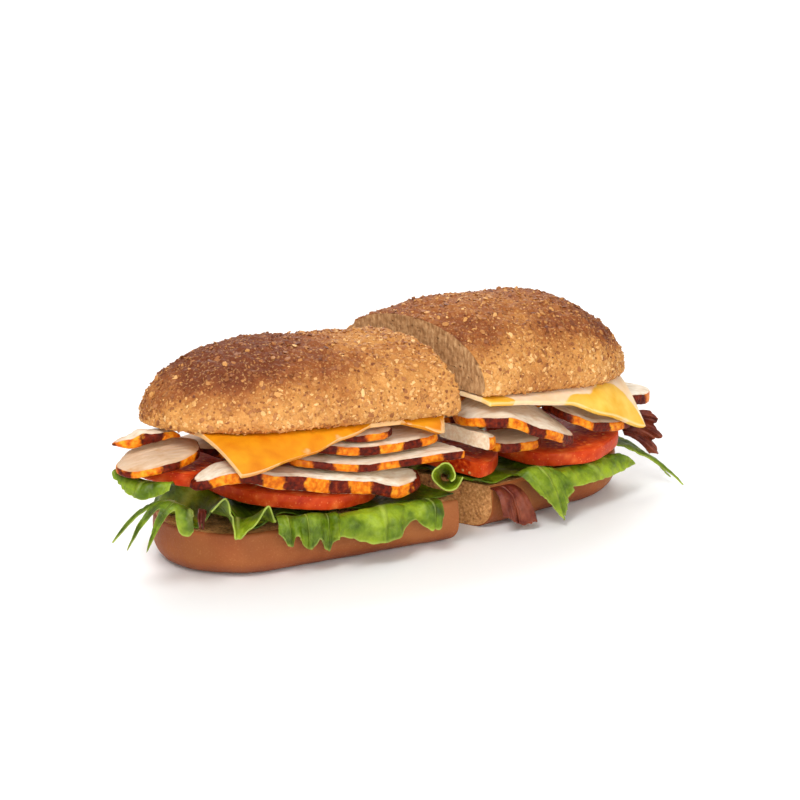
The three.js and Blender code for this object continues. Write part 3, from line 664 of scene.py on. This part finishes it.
# Two curds, cream and yellow, are pressed together into one marbled slice.
marbled = Finish("marbled_cheese", Roughness=0.42, Specular_IOR_Level=0.25, Subsurface_Weight=0.1)
marbled.shader.inputs["Subsurface Radius"].default_value = (0.004, 0.002, 0.0007)
swirl = marbled.kept("yellow") + (marbled.grain(16, 3) - 0.5) * 0.9
orange = marbled.ramp(marbled.grain(9), (0.3, paint(210, 120, 5)), (0.7, paint(228, 152, 18)))
yellow = marbled.ramp(marbled.grain(9), (0.3, paint(232, 170, 36)), (0.7, paint(244, 198, 84)))
yellow = marbled.blend(marbled.kept("deep"), yellow, orange)
cream = marbled.ramp(marbled.grain(7), (0.3, paint(234, 196, 146)), (0.7, paint(243, 218, 186)))
marble = marbled.blend(swirl.step(0.42, 0.54), cream, yellow)
marble = marbled.blend(marbled.kept("edge") * 0.6, marble, paint(244, 214, 160))
marbled.wear(marble, relief=marbled.grain(2.5, 3), depth=0.16)
# Where the right slice is yellow: the middle, out and near, and the half lengths of each patch.
YELLOW_PATCHES = [(18, 40, 11, 5), (72, 43, 20, 5), (92, 36, 12, 5), (101, 42, 5, 5), (40, -20, 30, 18)]
for half in (LEFT, RIGHT):
    name = half["name"]
    cut = CHEESE[name]
    cheese, u, v = grid(f"{name}_cheese_slice", 150, 110)
    at_front = mix(cut_line(half, 38), cut["reach"] - cut["slant"] * 38, u)
    front = through(cut["edge"], at_front)
    near = mix(-cut["back"], front, v)
    out = mix(cut_line(half, near) + 0.6, cut["reach"] - cut["slant"] * np.abs(near), u)
    rim_width = np.maximum(6, CROWN["width"] * end_share(np.maximum(0, out), CROWN) - 5)
    over_front = np.clip((near - rim_width) / np.maximum(1, front - rim_width), 0, 1)
    over_back = np.clip((-near - rim_width) / np.maximum(1, cut["back"] - rim_width), 0, 1)
    sag = through(cut["drop"], out) * over_front**1.4 + cut["back_drop"] * over_back**1.4
    up = under_crown(half, out, near) - 0.4 - CHEESE_THICK / 2 - sag
    put(cheese, lay(half, out, near, up))
    at = places(cheese)
    put(cheese, at + np.array([0, 0, 0.25]) * np.minimum(rough(at, 15, 2, 9), 0.2)[:, None] / 1000)
    patches = [np.exp(-(((out - x) / a) ** 2) - ((near - y) / b) ** 2) for x, y, a, b in YELLOW_PATCHES]
    note(cheese, "yellow", 1.1 - 0.5 * smooth((v - 0.9) / 0.1) if half is LEFT else sum(patches))
    note(cheese, "deep", 0 * u + (half is LEFT))
    note(cheese, "edge", 0 * u)
    apply(cheese, "SOLIDIFY", thickness=CHEESE_THICK / 1000, offset=0)
    face_out(cheese)
    apply(cheese, "BEVEL", width=0.0005, segments=2, limit_method="ANGLE", angle_limit=math.radians(50))
    rim_faces = np.abs(normals(cheese)[:, 2]) < 0.45
    cheese.data.attributes["edge"].data.foreach_set("value", rim_faces.astype(np.float32))
    cheese.data.materials.append(marbled.material)
    shade(cheese, 40)
    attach(cheese, "root")
    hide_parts(f"{name}_cheese")

# ------------------------------------------------------------------ chicken
# Breast meat grilled in one piece on hot bars, glazed, and then sliced: each slice is white and
# fibrous on its cut faces, and its rim is the outside, orange glaze with charred bars across it.

# In mm from each half's cut: the slice's ends, its front edge and its depth to the back, how high it
# lies at places along it, how steeply it slopes up towards the back, and how thick it is. power is how
# square its outline is, and flush says that the knife cut it off with the bread.
LEFT_CHICKEN = [
    {
        "ends": (107, 138), "front": 12, "depth": 10, "power": 1.9,
        "heights": [[107, 59.3], [112, 60.5], [122, 59.6], [131, 58.2], [138, 60]],
        "slope": [[0, -0.1]],
        "thick": [[107, 2.3], [113, 4], [121, 5.2], [126, 6.8], [132, 5.2], [138, 2]],
    },
    {
        "ends": (98, 141), "front": 27, "depth": 27, "power": 2, "turn": 22,
        "heights": [[98, 51.4], [120, 51.2], [141, 49.4]], "slope": [[0, 0.08]],
        "thick": [[98, 4.4], [120, 4.4], [141, 3.4]],
    },
    {
        "ends": (4, 114), "front": 45, "depth": 20, "power": 2.6,
        "heights": [[4, 27], [18, 26.5], [34, 32.6], [47, 35.1], [76, 41.4],
            [92, 46.6], [100, 46.6], [114, 42.6]],
        "slope": [[4, 0.3], [20, 0.3], [36, 0.05], [60, -0.05], [76, -0.1], [92, 0], [114, 0.1]],
        "thick": [[4, 6.8], [30, 7.4], [66, 8], [86, 7], [114, 5]],
    },
    {
        "ends": (-34, 68), "front": 42, "depth": 30, "power": 4, "flush": True,
        "heights": [[-18, 41], [0, 41.5], [32, 41.9], [68, 48.2]], "thick": 4.4,
    },
    {
        "ends": (-9, 68), "front": 38, "depth": 28, "flush": True,
        "heights": [[-4, 47.6], [30, 47.9], [64, 53.4]], "thick": 5.1,
    },
    {
        "ends": (15, 46), "front": 36.5, "depth": 22, "heights": [[15, 53.7], [32, 54.1], [46, 55.9]],
        "thick": [[15, 4.1], [32, 4.1], [46, 2.8]],
    },
    {
        "ends": (10, 96), "front": -12, "depth": 30, "heights": [[10, 33.8], [50, 36.2], [96, 40.2]],
        "thick": 5.8,
    },
    {
        "ends": (6, 84), "front": -10, "depth": 32, "flush": True, "heights": [[6, 41.4], [84, 46]],
        "thick": 5.6,
    },
    {
        "ends": (24, 92), "front": -8, "depth": 28, "heights": [[24, 49.6], [92, 53.5]], "thick": 4.8,
    },
]
RIGHT_CHICKEN = [
    {
        "ends": (4, 66), "front": 47, "depth": 32, "power": 2.6, "turn": 4,
        "heights": [[4, 53.4], [20, 51.4], [40, 43], [66, 31.5]],
        "slope": [[4, -0.1], [20, 0.1], [38, 0.35], [56, 0.34], [66, 0.28]],
        "thick": [[4, 5.2], [20, 6.2], [66, 5.8]],
    },
    {
        "ends": (-26, 20), "front": 42, "depth": 28, "power": 4, "flush": True,
        "heights": [[-18, 46.6], [20, 40.6]], "thick": 7.4,
    },
    {
        "ends": (22, 50), "front": 38, "depth": 24, "heights": [[22, 36.4], [50, 34.6]], "thick": 5.4,
    },
    {
        "ends": (58.5, 106), "front": 41, "depth": 26,
        "heights": [[58, 45.8], [66, 42.8], [77, 38], [93, 35.2], [106, 33.6]], "slope": [[0, 0.1]],
        "thick": 5.4,
    },
    {
        "ends": (96, 137), "front": 24, "depth": 30, "power": 2.2, "heights": [[96, 42], [137, 37.2]],
        "thick": 6.4,
    },
    {
        "ends": (-10, 102), "front": -9, "depth": 31, "flush": True,
        "heights": [[-10, 38], [70, 34.4], [100, 35.4]], "thick": 6.5,
    },
    {
        "ends": (-12, 76), "front": -12, "depth": 28, "flush": True, "heights": [[-12, 48], [76, 44]],
        "thick": 6.5,
    },
    {
        "ends": (0, 104), "front": -8, "depth": 28, "flush": True,
        "heights": [[0, 56], [40, 54.5], [104, 47]], "thick": 4.6,
    },
]
BEVEL = 2.2  # how far the white top slopes back over the grilled rim

meat = Finish("grilled_chicken", Roughness=0.48, Specular_IOR_Level=0.14, Subsurface_Weight=0.03)
meat.shader.inputs["Subsurface Radius"].default_value = (0.003, 0.0015, 0.0008)
fibre = meat.grain(2.2, 4, meat.coordinates((0.35, 1.2, 1.2)))
white = meat.ramp(
    fibre, (0.28, paint(212, 188, 158)), (0.45, paint(230, 214, 190)), (0.7, paint(242, 233, 216))
)
flushed = meat.grain(11, 3).step(0.52, 0.7) * 0.45
# Random flushed patches, together with each slice's tone, which is painted shade, darken the white towards
# pinkish brown.
white = meat.blend(flushed + meat.kept("tone"), white, paint(196, 150, 106))
bar_noise = (meat.grain(4, 4) - 0.5) * 2.2
bars = ((meat.kept("along") * (2 * math.pi / 21) + bar_noise).sine()).step(-0.2, 0.3)
glaze = meat.ramp(
    meat.grain(2.6, 4), (0.3, paint(184, 72, 4)), (0.5, paint(222, 118, 10)), (0.68, paint(238, 160, 38))
)
char = meat.ramp(
    meat.grain(1.8, 4), (0.35, paint(62, 12, 2)), (0.6, paint(108, 26, 3)), (0.8, paint(146, 56, 10))
)
outside = meat.blend(bars, glaze, char)
grilled = (meat.kept("rim") + (meat.grain(1.6, 3) - 0.5) * 0.5).step(0.42, 0.58)
seared = (meat.kept("rim") + (meat.grain(3, 3) - 0.5) * 0.7).step(0.05, 0.5) * 0.35
white = meat.blend(seared, white, paint(196, 134, 78))
meat.wear(
    meat.blend(grilled, white, outside),
    roughness=0.5 - grilled * 0.1,
    relief=mix(fibre * 0.8, meat.grain(1.4, 4) * 0.9 - bars * 0.35, grilled),
    depth=0.45,
)
cut_meat = Finish("chicken_cut_face", Roughness=0.5, Specular_IOR_Level=0.25, Subsurface_Weight=0.08)
cut_meat.shader.inputs["Subsurface Radius"].default_value = (0.003, 0.0015, 0.0008)
strand = cut_meat.grain(1.6, 4)
sliced = cut_meat.ramp(
    strand, (0.3, paint(234, 198, 158)), (0.5, paint(244, 216, 182)), (0.7, paint(252, 234, 208))
)
cut_meat.wear(sliced, relief=strand, depth=0.4)

# The shells of a slice from below to the top: the share of its thickness, the inset from its outline in
# mm, how much of it is rim, and its ring on the ball.
SHELLS = {
    "share": [0, 0, 0.02, 0.1, 0.3, 0.7, 0.8, 0.85, 0.97, 1, 1],
    "inset": [1, 1.2, 0.4, 0.1, -0.1, 0, 0.15, 0.6, 1, 1, 1],
    "rim": [0, 0, 0.5, 1, 1, 1, 0.75, 0.1, 0, 0, 0],
    "ring": [0, 6, 9, 12, 17, 22, 24, 26, 33, 36, 44],
}


SLICE_AROUND = 128
SEED_STEP = 9  # how far the pattern moves along from one slice to the next, in mm


def slice_of(name, half, centre, half_size, power, turn, base, thick, seed, bevel, shells):
    """A slice with a rounded outline, lofted over its shells from the middle below to the middle on top."""
    piece, ring, s = ball(name, SLICE_AROUND, shells["ring"][-1])
    small = min(half_size)
    reaches = 1 - np.array(shells["inset"], float) / small
    reaches[0] = 0
    reaches[-3:] = (1 - bevel / small) * np.array([1, 0.6, 0])
    reach = np.interp(ring, shells["ring"], reaches)
    share = np.interp(ring, shells["ring"], shells["share"])
    rim = np.interp(ring, shells["ring"], shells["rim"])
    angle = 2 * math.pi * s
    wobble = 1 + 0.018 * np.sin(3 * angle + seed) + 0.012 * np.sin(7 * angle + 2 * seed)
    wobble = 1 - (1.015 - wobble) * np.clip(reach, 0, 1)
    cos = np.cos(angle)
    sin = np.sin(angle)
    x = np.sign(cos) * np.abs(cos) ** (2 / power) * half_size[0] * reach * wobble
    y = np.sign(sin) * np.abs(sin) ** (2 / power) * half_size[1] * reach * wobble
    swing = math.radians(turn)
    out = centre[0] + x * math.cos(swing) - y * math.sin(swing)
    near = centre[1] + x * math.sin(swing) + y * math.cos(swing)
    put(piece, lay(half, out, near, base(out, near) + share * through(thick, out)))
    face_out(piece)
    note(piece, "rim", rim)
    note(piece, "along", x + SEED_STEP * seed)
    note(piece, "across", y)
    return piece, reach, share


def trim_flush(piece, half, white_slot):
    """Cuts off what lies across the cut, and closes the piece there with a white face."""
    bias = math.radians(half["bias"] + half["turn"])
    outwards = Vector((half["side"] * math.cos(bias), half["side"] * math.sin(bias), 0))
    spot = Vector(lay(half, 0.0, 0.0, 0.0))
    pick(piece)
    bpy.ops.object.mode_set(mode="EDIT")
    bpy.ops.mesh.select_all(action="SELECT")
    bpy.ops.mesh.bisect(plane_co=spot, plane_no=outwards, use_fill=True, clear_inner=True)
    bpy.ops.object.mode_set(mode="OBJECT")
    for face in piece.data.polygons:
        if face.normal.dot(outwards) < -0.98 and abs((face.center - spot).dot(outwards)) < 2e-4:
            face.material_index = white_slot


# How far painted shade darkens each slice's white towards pinkish brown, slice by slice.
LEFT_PAINTED_SHADE = [0.3, 0.6, 0, 0.15, 0.15, 0.3, 0.3, 0.3, 0.3]
RIGHT_PAINTED_SHADE = [0.25, 0.1, 0.4, 0.2, 0, 0.3, 0.3, 0.3]
for half, cuts, painted_shades in ((LEFT, LEFT_CHICKEN, LEFT_PAINTED_SHADE), (RIGHT, RIGHT_CHICKEN, RIGHT_PAINTED_SHADE)):
    for number, (cut, tone) in enumerate(zip(cuts, painted_shades), 1):
        first, last = cut["ends"]

        def underside(out, near):
            slope = through(cut.get("slope", [[0, 0]]), out)
            return through(cut["heights"], out) + slope * (cut["front"] - near)

        strip, reach, share = slice_of(
            f"{half['name']}_chicken_slice_{number}",
            half,
            centre=((first + last) / 2, cut["front"] - cut["depth"] / 2),
            half_size=((last - first) / 2, cut["depth"] / 2),
            power=cut.get("power", 3),
            turn=cut.get("turn", 0),
            base=underside,
            thick=cut["thick"] if isinstance(cut["thick"], list) else [[0, cut["thick"]]],
            seed=number * 1.7 + half["side"],
            bevel=BEVEL,
            shells=SHELLS,
        )
        # tone is this slice's painted shade.
        note(strip, "tone", tone + 0 * share)
        at = places(strip)
        dips = 0.35 * np.minimum(rough(at, 6, 3, number), 0.1) * (share > 0.5)
        ripple = np.array([0, 0, 1]) * dips[:, None]
        dents = normals(strip) * (0.3 * np.minimum(rough(at, 3.5, 3, number + 9), 0.15))[:, None]
        put(strip, at + (ripple + dents) / 1000)
        strip.data.materials.append(meat.material)
        strip.data.materials.append(cut_meat.material)
        if cut.get("flush"):
            trim_flush(strip, half, 1)
        shade(strip, 60)
        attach(strip, "root")
        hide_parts(f"{half['name']}_chicken_{number}")

# ------------------------------------------------------------------ tomato
# Ripe tomato sliced across about 7 mm thick: a thin glossy skin round firm outer flesh, and inside it
# chambers of wet seeds between paler walls.

# In mm from each half's cut: the middle, the radius, how high it lies there, how steeply it rises
# outwards and to the front, and how thick it is.
TOMATOES = [
    (LEFT, 1, {"centre": (54, 3), "radius": 40, "up": 27.5, "out": 0.11, "near": 0, "thick": 7}),
    (LEFT, 2, {"centre": (108, 5), "radius": 22, "up": 41.9, "out": 0.16, "near": 0, "thick": 6.5}),
    (RIGHT, 1, {"centre": (75, 11), "radius": 33, "up": 25.5, "out": 0.03, "near": -0.04, "thick": 7}),
    (RIGHT, 2, {"centre": (5, 4), "radius": 34.5, "up": 28, "out": -0.1, "near": 0, "thick": 7}),
]
tomato = Finish("ripe_tomato", Roughness=0.36, Specular_IOR_Level=0.14, Subsurface_Weight=0.1)
tomato.shader.inputs["Subsurface Radius"].default_value = (0.004, 0.0012, 0.0006)
skin_mask = tomato.kept("rim").step(0.35, 0.65)
ring_share = tomato.kept("reach")
spokes = (tomato.kept("turn") * 2.5 + (tomato.grain(14) - 0.5) * 1.5).sine().size()
chamber = ring_share.step(0.32, 0.4) * (1 - ring_share.step(0.8, 0.86)) * spokes.step(0.2, 0.4)
flesh = tomato.ramp(
    tomato.grain(5, 4), (0.3, paint(190, 52, 16)), (0.55, paint(208, 78, 28)), (0.75, paint(226, 116, 54))
)
pulp = tomato.ramp(
    tomato.grain(2.2, 3), (0.35, paint(156, 30, 8)), (0.6, paint(200, 70, 20)), (0.75, paint(226, 142, 60))
)
seeds = tomato.cells(3.4).step(0.26, 0.16)
pulp = tomato.blend(seeds * 0.7, pulp, paint(232, 186, 112))
skin = tomato.ramp(
    tomato.grain(6, 4), (0.3, paint(176, 42, 10)), (0.55, paint(202, 68, 20)), (0.75, paint(222, 104, 44))
)
# Small pale spots on the skin are painted highlights: glints of its wet gloss.
skin = tomato.blend(tomato.cells(1.6).step(0.3, 0.12) * 0.4, skin, paint(232, 138, 76))
tomato.wear(
    tomato.blend(skin_mask, tomato.blend(chamber, flesh, pulp), skin),
    relief=(tomato.grain(1.6, 3) * 0.5 + seeds * chamber * 0.5) * (1 - skin_mask),
    depth=0.5,
)
TOMATO_SHELLS = {
    "share": [0, 0, 0.03, 0.12, 0.5, 0.88, 0.97, 1, 1],
    "inset": [1, 1.4, 0.5, 0.12, -0.1, 0.12, 0.5, 1, 1],
    "rim": [0, 0, 0.2, 1, 1, 1, 0.2, 0, 0],
    "ring": [0, 14, 16, 18, 24, 30, 32, 34, 48],
}
for half, number, cut in TOMATOES:

    def underside(out, near):
        return cut["up"] + cut["out"] * (out - cut["centre"][0]) + cut["near"] * (near - cut["centre"][1])

    disc, reach, share = slice_of(
        f"{half['name']}_tomato_slice_{number}",
        half,
        centre=cut["centre"],
        half_size=(cut["radius"], cut["radius"] * 0.97),
        power=2,
        turn=0,
        base=underside,
        thick=[[0, cut["thick"]]],
        seed=number + 0.5,
        bevel=1,
        shells=TOMATO_SHELLS,
    )
    at = places(disc)
    put(disc, at + normals(disc) * (0.3 * np.minimum(rough(at, 5, 3, number + 20), 0.1))[:, None] / 1000)
    note(disc, "reach", reach)
    x = noted(disc, "along") - SEED_STEP * (number + 0.5)
    note(disc, "turn", np.arctan2(noted(disc, "across"), x))
    disc.data.materials.append(tomato.material)
    if half is RIGHT and number == 2:
        trim_flush(disc, half, 0)
    shade(disc, 50)
    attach(disc, "root")
    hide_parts(f"{half['name']}_tomato_{number}")

# ------------------------------------------------------------------ lettuce
# Mixed leaves, torn small: soft green lettuce with ruffled edges, a smooth spoon-shaped leaf, a thin
# toothed one and a few dark red ones. Each hangs over the heel from under the tomato.

# rows are nine guide points of a blade in mm, [out, near, up], from its root to its free edge. Its edge
# has so many lobes of that depth, of which notch sets how narrow the cuts are, spread how they crowd to
# one side and lead where they start, and so many ruffles that swing out by ruffle mm, from phase on.
LEFT_LEAVES = {
    "end": {
        "rows": [
            [[118, 27.5, 45], [125, 22.5, 44], [130, 11, 45.5]],
            [[121, 32, 50.5], [135, 26, 50], [142, 12, 54]],
            [[122.5, 32, 44.5], [137, 23.5, 34], [140.5, 13, 48]],
        ],
        "edge": {"ruffles": 1, "ruffle": 0.7},
    },
    "fingers": {
        "rows": [
            [[113.5, 37, 33], [116.5, 34, 37], [120, 28, 38.5]],
            [[119, 48, 44], [126, 46.5, 56], [137, 36.5, 44.5]],
            [[117.5, 46.5, 30], [138, 44.5, 13.5], [149.5, 27.5, 25.5]],
        ],
        "edge": {
            "lobes": 3.5, "depth": 0.5, "notch": 0.6, "spread": 2, "lead": 0.5, "ruffles": 1.5,
            "ruffle": 1.2,
        },
    },
    "frill": {
        "rows": [
            [[81, 34, 25], [92, 33, 27.5], [102, 30, 30.5]],
            [[81, 41, 27], [95, 42, 31], [108, 38.5, 35]],
            [[80.5, 48, 27], [95, 48.5, 30], [109, 45, 36]],
        ],
        "edge": {"ruffles": 1.43, "ruffle": 7.5, "phase": 0.035},
    },
    "red": {
        "rows": [
            [[105, 31, 31], [106.5, 30, 31.5], [108, 29, 32]],
            [[109.5, 41, 39], [111, 40.5, 39.5], [112.5, 40, 40]],
            [[111, 44, 30], [112.5, 43.5, 28], [114, 43, 30]],
        ],
        "edge": {"lobes": 2, "depth": 0.2, "ruffles": 1, "ruffle": 0.7},
    },
    "front": {
        "rows": [
            [[49, 36.5, 22.5], [64, 36.5, 24], [77, 36.5, 25.5]],
            [[48, 47.5, 33], [65, 48, 35], [78.5, 47, 34]],
            [[50, 46.5, 9], [64, 46.5, 12], [78, 46, 18]],
        ],
        "edge": {"lobes": 3, "depth": 0.14, "notch": 1.4, "ruffles": 2, "ruffle": 2.0, "phase": 0.5},
    },
    "broad": {
        "rows": [
            [[0, 37, 22.5], [16, 37, 22.5], [46, 37, 22.5]],
            [[-3, 48, 29], [14, 49.5, 34], [53, 56, 34]],
            [[-1, 47, 13], [13, 48, 12], [54, 54.5, 12]],
        ],
        "edge": {"lobes": 2, "depth": 0.18, "notch": 2, "spread": 0.72, "ruffles": 2, "ruffle": 2.0},
    },
    "back_1": {
        "rows": [
            [[60, -36.5, 24], [80, -36.5, 25], [98, -33, 27]],
            [[60, -46, 28], [80, -46, 31], [100, -42, 34]],
            [[62, -46, 12], [80, -45, 14], [100, -41, 20]],
        ],
        "edge": {"lobes": 3, "depth": 0.25, "ruffles": 2, "ruffle": 2.6},
    },
    "back_2": {
        "rows": [
            [[18, -37, 22.5], [36, -37, 22.5], [56, -37, 22.5]],
            [[18, -47, 25], [36, -48, 28], [56, -47, 27]],
            [[20, -46, 12], [36, -46, 8], [54, -46, 12]],
        ],
        "edge": {"lobes": 3, "depth": 0.25, "ruffles": 1.5, "ruffle": 1.8},
    },
}
RIGHT_LEAVES = {
    "big": {
        "rows": [
            [[29, 37, 25], [38, 37, 25], [48, 37, 24]],
            [[27, 47, 31], [37, 50, 48], [51, 49, 30]],
            [[40, 50, 12], [50, 52, -6], [59, 50, 10]],
        ],
        "edge": {"lobes": 1, "depth": 0.15, "ruffles": 1, "ruffle": 1.8},
    },
    "smooth": {
        "rows": [
            [[50, 36, 22.6], [68, 36, 22.6], [88, 35, 22.6]],
            [[51, 44, 25], [74, 44, 25.5], [100, 38, 24]],
            [[54, 45, 16], [76, 46, 14], [106, 37.5, 15.5]],
        ],
        "edge": {"ruffles": 0.5, "ruffle": 0.8},
    },
    "thin": {
        "rows": [
            [[96, 22, 23.2], [99, 15, 23.2], [101, 6, 23.2]],
            [[108, 34, 27], [114, 28, 27], [118, 18, 27]],
            [[125, 44, 2], [142, 46, -4], [129, 29, 8]],
        ],
        "edge": {"lobes": 2, "depth": 0.5, "notch": 0.6, "ruffles": 1, "ruffle": 1.2},
    },
    "red_end": {
        "rows": [
            [[109, 26, 26.5], [110, 22, 30.5], [110, 18, 34.5]],
            [[113, 33, 26], [117, 33, 33], [117, 29, 40]],
            [[119, 36.5, 14.5], [127, 36, 25], [122, 33, 38]],
        ],
        "edge": {"lobes": 3, "depth": 0.15, "ruffles": 2.5, "ruffle": 2.2},
    },
    "red_cut": {
        "rows": [
            [[17, 36, 21], [22, 36, 21], [28, 37, 21]],
            [[17, 44, 22], [25, 45, 24], [32, 46, 22]],
            [[19, 44, 6], [28, 45, 4], [38, 46.5, -1]],
        ],
        "edge": {"lobes": 1, "depth": 0.1, "ruffles": 1.5, "ruffle": 1.2},
    },
    "back_1": {
        "rows": [
            [[56, -37.5, 23], [74, -37.5, 23], [88, -34, 23]],
            [[56, -48, 26], [74, -49, 27], [96, -44, 27]],
            [[58, -48, 10], [74, -49, 8], [96, -45, 12]],
        ],
        "edge": {"lobes": 3, "depth": 0.25, "ruffles": 2, "ruffle": 2.2},
    },
    "back_2": {
        "rows": [
            [[-4, -38, 23], [18, -38, 23], [50, -38, 22.6]],
            [[-6, -48, 27], [18, -50, 28], [50, -48, 27]],
            [[-4, -48, 13], [18, -49, 8], [48, -48, 10]],
        ],
        "edge": {"lobes": 3, "depth": 0.2, "ruffles": 1.5, "ruffle": 1.8},
    },
}


def leaf_finish(name, dark, middle, light, rib):
    """A leaf's blade with its veins; v runs from the root, 0, to the free edge, 1."""
    made = Finish(name, Roughness=0.4, Specular_IOR_Level=0.25, Subsurface_Weight=0.05)
    made.shader.inputs["Subsurface Radius"].default_value = (0.0015, 0.003, 0.0006)
    # Besides random tone, the blade is painted lighter towards its free edge and darker towards the root:
    # painted light and shade.
    tone = made.grain(10, 4) + (made.grain(26, 2) - 0.5) * 0.5 + made.kept("v") * 0.2 - 0.12
    blade = made.ramp(tone, (0.28, dark), (0.48, middle), (0.7, light))
    blisters = made.cells(4.5, "SMOOTH_F1")
    # The valleys between the blisters are painted darker: painted shade in the creases.
    blade = made.blend(blisters.step(0.45, 0.8) * 0.4, blade, dark)
    small_vein = 1 - made.cells(5.5, "DISTANCE_TO_EDGE").step(0.0, 0.07)
    rib_line = 1 - made.kept("vein").step(0.0, 0.12)
    blade = made.blend(small_vein * 0.06, blade, rib)
    blade = made.blend(rib_line * (1.0 - made.kept("v")) * 0.75, blade, rib)
    blade = made.blend(made.kept("v").step(0.96, 1.0) * 0.45, blade, rib)
    made.wear(blade, relief=made.grain(2.2, 3) * 0.5 - blisters * 0.8 + rib_line * 0.5, depth=1.0)
    return made


lettuce = leaf_finish(
    "lettuce_blade", paint(46, 62, 4), paint(88, 112, 7), paint(140, 160, 28), paint(176, 188, 88)
)
red_leaf = leaf_finish(
    "red_leaf_blade", paint(50, 12, 6), paint(92, 30, 17), paint(134, 66, 42), paint(140, 74, 52)
)


def patch(rows, u, v):
    """A curved patch over nine guide points: three rows from the root to the edge, three to a row."""
    weights_u = [(1 - u) ** 2, 2 * u * (1 - u), u**2]
    weights_v = [(1 - v) ** 2, 2 * v * (1 - v), v**2]
    points = 0
    for row, weight_v in zip(rows, weights_v):
        for point, weight_u in zip(row, weights_u):
            points = points + (weight_v * weight_u)[:, None] * np.array(point, float)
    return points


def leaf_blade(piece, half, middle, v, thick):
    """Lays a blade in its half and gives it its thickness."""
    put(piece, lay(half, *middle.T))
    note(piece, "v", v)
    apply(piece, "SOLIDIFY", thickness=thick / 1000, offset=0)
    face_out(piece)
    shade(piece, 60)
    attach(piece, "root")


LEAF_THICK = 0.7
for half, leaves in ((LEFT, LEFT_LEAVES), (RIGHT, RIGHT_LEAVES)):
    for number, (leaf_name, form) in enumerate(leaves.items()):
        rows = form["rows"]
        edge = form["edge"]
        leaf, u, v = grid(f"{half['name']}_leaf_{leaf_name}_blade", 110, 36)
        lobe = edge.get("lobes", 0) * u ** edge.get("spread", 1) + edge.get("lead", 0)
        cut_back = (0.5 + 0.5 * np.cos(2 * math.pi * lobe)) ** edge.get("notch", 1)
        reach = v * (1 - edge.get("depth", 0) * cut_back)
        reach *= 1 - 0.015 * v * (0.5 + 0.5 * np.sin(50 * u + 3 * np.sin(9 * u + number)))
        centre = patch(rows, u, reach)
        step_u = patch(rows, np.minimum(u + 0.01, 1), reach) - patch(rows, np.maximum(u - 0.01, 0), reach)
        step_v = patch(rows, u, reach + 0.01) - centre
        normal = np.cross(step_u, step_v)
        normal /= np.linalg.norm(normal, axis=1, keepdims=True)
        turn = 2 * math.pi * (edge["ruffles"] * u + edge.get("phase", 0))
        wave = edge["ruffle"] * reach**1.3 * np.sin(turn)
        frill = min(1.0, 0.4 * edge["ruffle"]) * reach**2.5 * np.sin(3.1 * turn + number)
        frill += 0.35 * reach**4 * np.sin(46 * u + 4 * np.sin(7 * u + number))
        crinkle = 0.6 * rough(centre / 1000, 5, 3, number + 30) * np.minimum(1, 3 * reach)
        middle = centre + normal * (wave + frill + crinkle)[:, None]
        from_rib = np.abs(lobe % 1 - 0.5) * (1 + 2 * v) if "lobes" in edge else np.abs(u - 0.5) * 2
        note(leaf, "vein", from_rib)
        leaf_blade(leaf, half, middle, v, LEAF_THICK)
        red = leaf_name.startswith("red")
        leaf.data.materials.append((red_leaf if red else lettuce).material)
        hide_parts(f"{half['name']}_leaf_{leaf_name}")

# One large crumpled leaf lies right through each half between the heel and the tomato.
# ceiling is how high it may rise, at places [out from the cut, mm], and wavelength that of its folds.
BEDS = {
    "left": {
        "reach": 112,
        "width": 34,
        "ceiling": [[0, 22.6], [16, 22.8], [54, 25.6], [86, 28.5], [98, 34], [112, 38.5]],
        "wavelength": 29,
    },
    "right": {
        "reach": 82,
        "width": 33,
        "ceiling": [[-12, 27.6], [5, 26.2], [40, 23.2], [83, 23.4]],
        "wavelength": 25,
    },
}
BED_THICK = 0.6
BED_GAP = 0.3 + 0.55 + 0.2  # its middle above the heel
for half in (LEFT, RIGHT):
    form = BEDS[half["name"]]
    bed, u, v = grid(f"{half['name']}_leaf_bed_blade", 150, 70)
    across = mix(-form["width"], form["width"], v)
    out = mix(cut_line(half, across) - 1, form["reach"], u)
    near = across * np.maximum(0.45, end_share(out, HEEL))
    wave = np.sin(2 * math.pi * out / form["wavelength"] + 1.1 * np.sin(near / 8))
    up = mix(HEEL["height"] + BED_GAP, through(form["ceiling"], out), 0.5 + 0.5 * wave)
    middle = np.stack([out, near, up], -1)
    middle[:, 2] += 0.25 * rough(middle / 1000, 4, 2, 50)
    note(bed, "vein", np.abs(v - 0.5) * 2)
    leaf_blade(bed, half, middle, u * 0.6, BED_THICK)
    bed.data.materials.append(lettuce.material)
    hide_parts(f"{half['name']}_leaf_bed")

# A small leaf has rolled round its own rib and sticks out beside the cut.
start = np.array([-8, 36, 32.5])
rib = np.array([-2.5, 47, 37.5]) - start
sideways = np.cross([0, 0, 1], rib)
sideways /= np.linalg.norm(sideways)
above = np.cross(rib, sideways)
above /= np.linalg.norm(above)
curl, u, v = grid("left_leaf_curl_blade", 130, 40)
CURL_TURNS = 1.12
angle = 2 * math.pi * (CURL_TURNS * u - 0.15)
radius = mix(1.6, 4, v) * (1 + 1.1 * u**2) * (1 + 0.07 * v * np.sin(24 * u))
middle = start + rib * v[:, None]
middle += sideways * (radius * np.cos(angle))[:, None]
middle += above * (radius * np.sin(angle))[:, None]
middle += 0.3 * (rough(middle / 1000, 4, 3, 60) * v)[:, None]
note(curl, "vein", np.abs(u - 0.5) * 2)
leaf_blade(curl, LEFT, middle, v, LEAF_THICK)
curl.data.materials.append(lettuce.material)
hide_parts("left_leaf_curl")
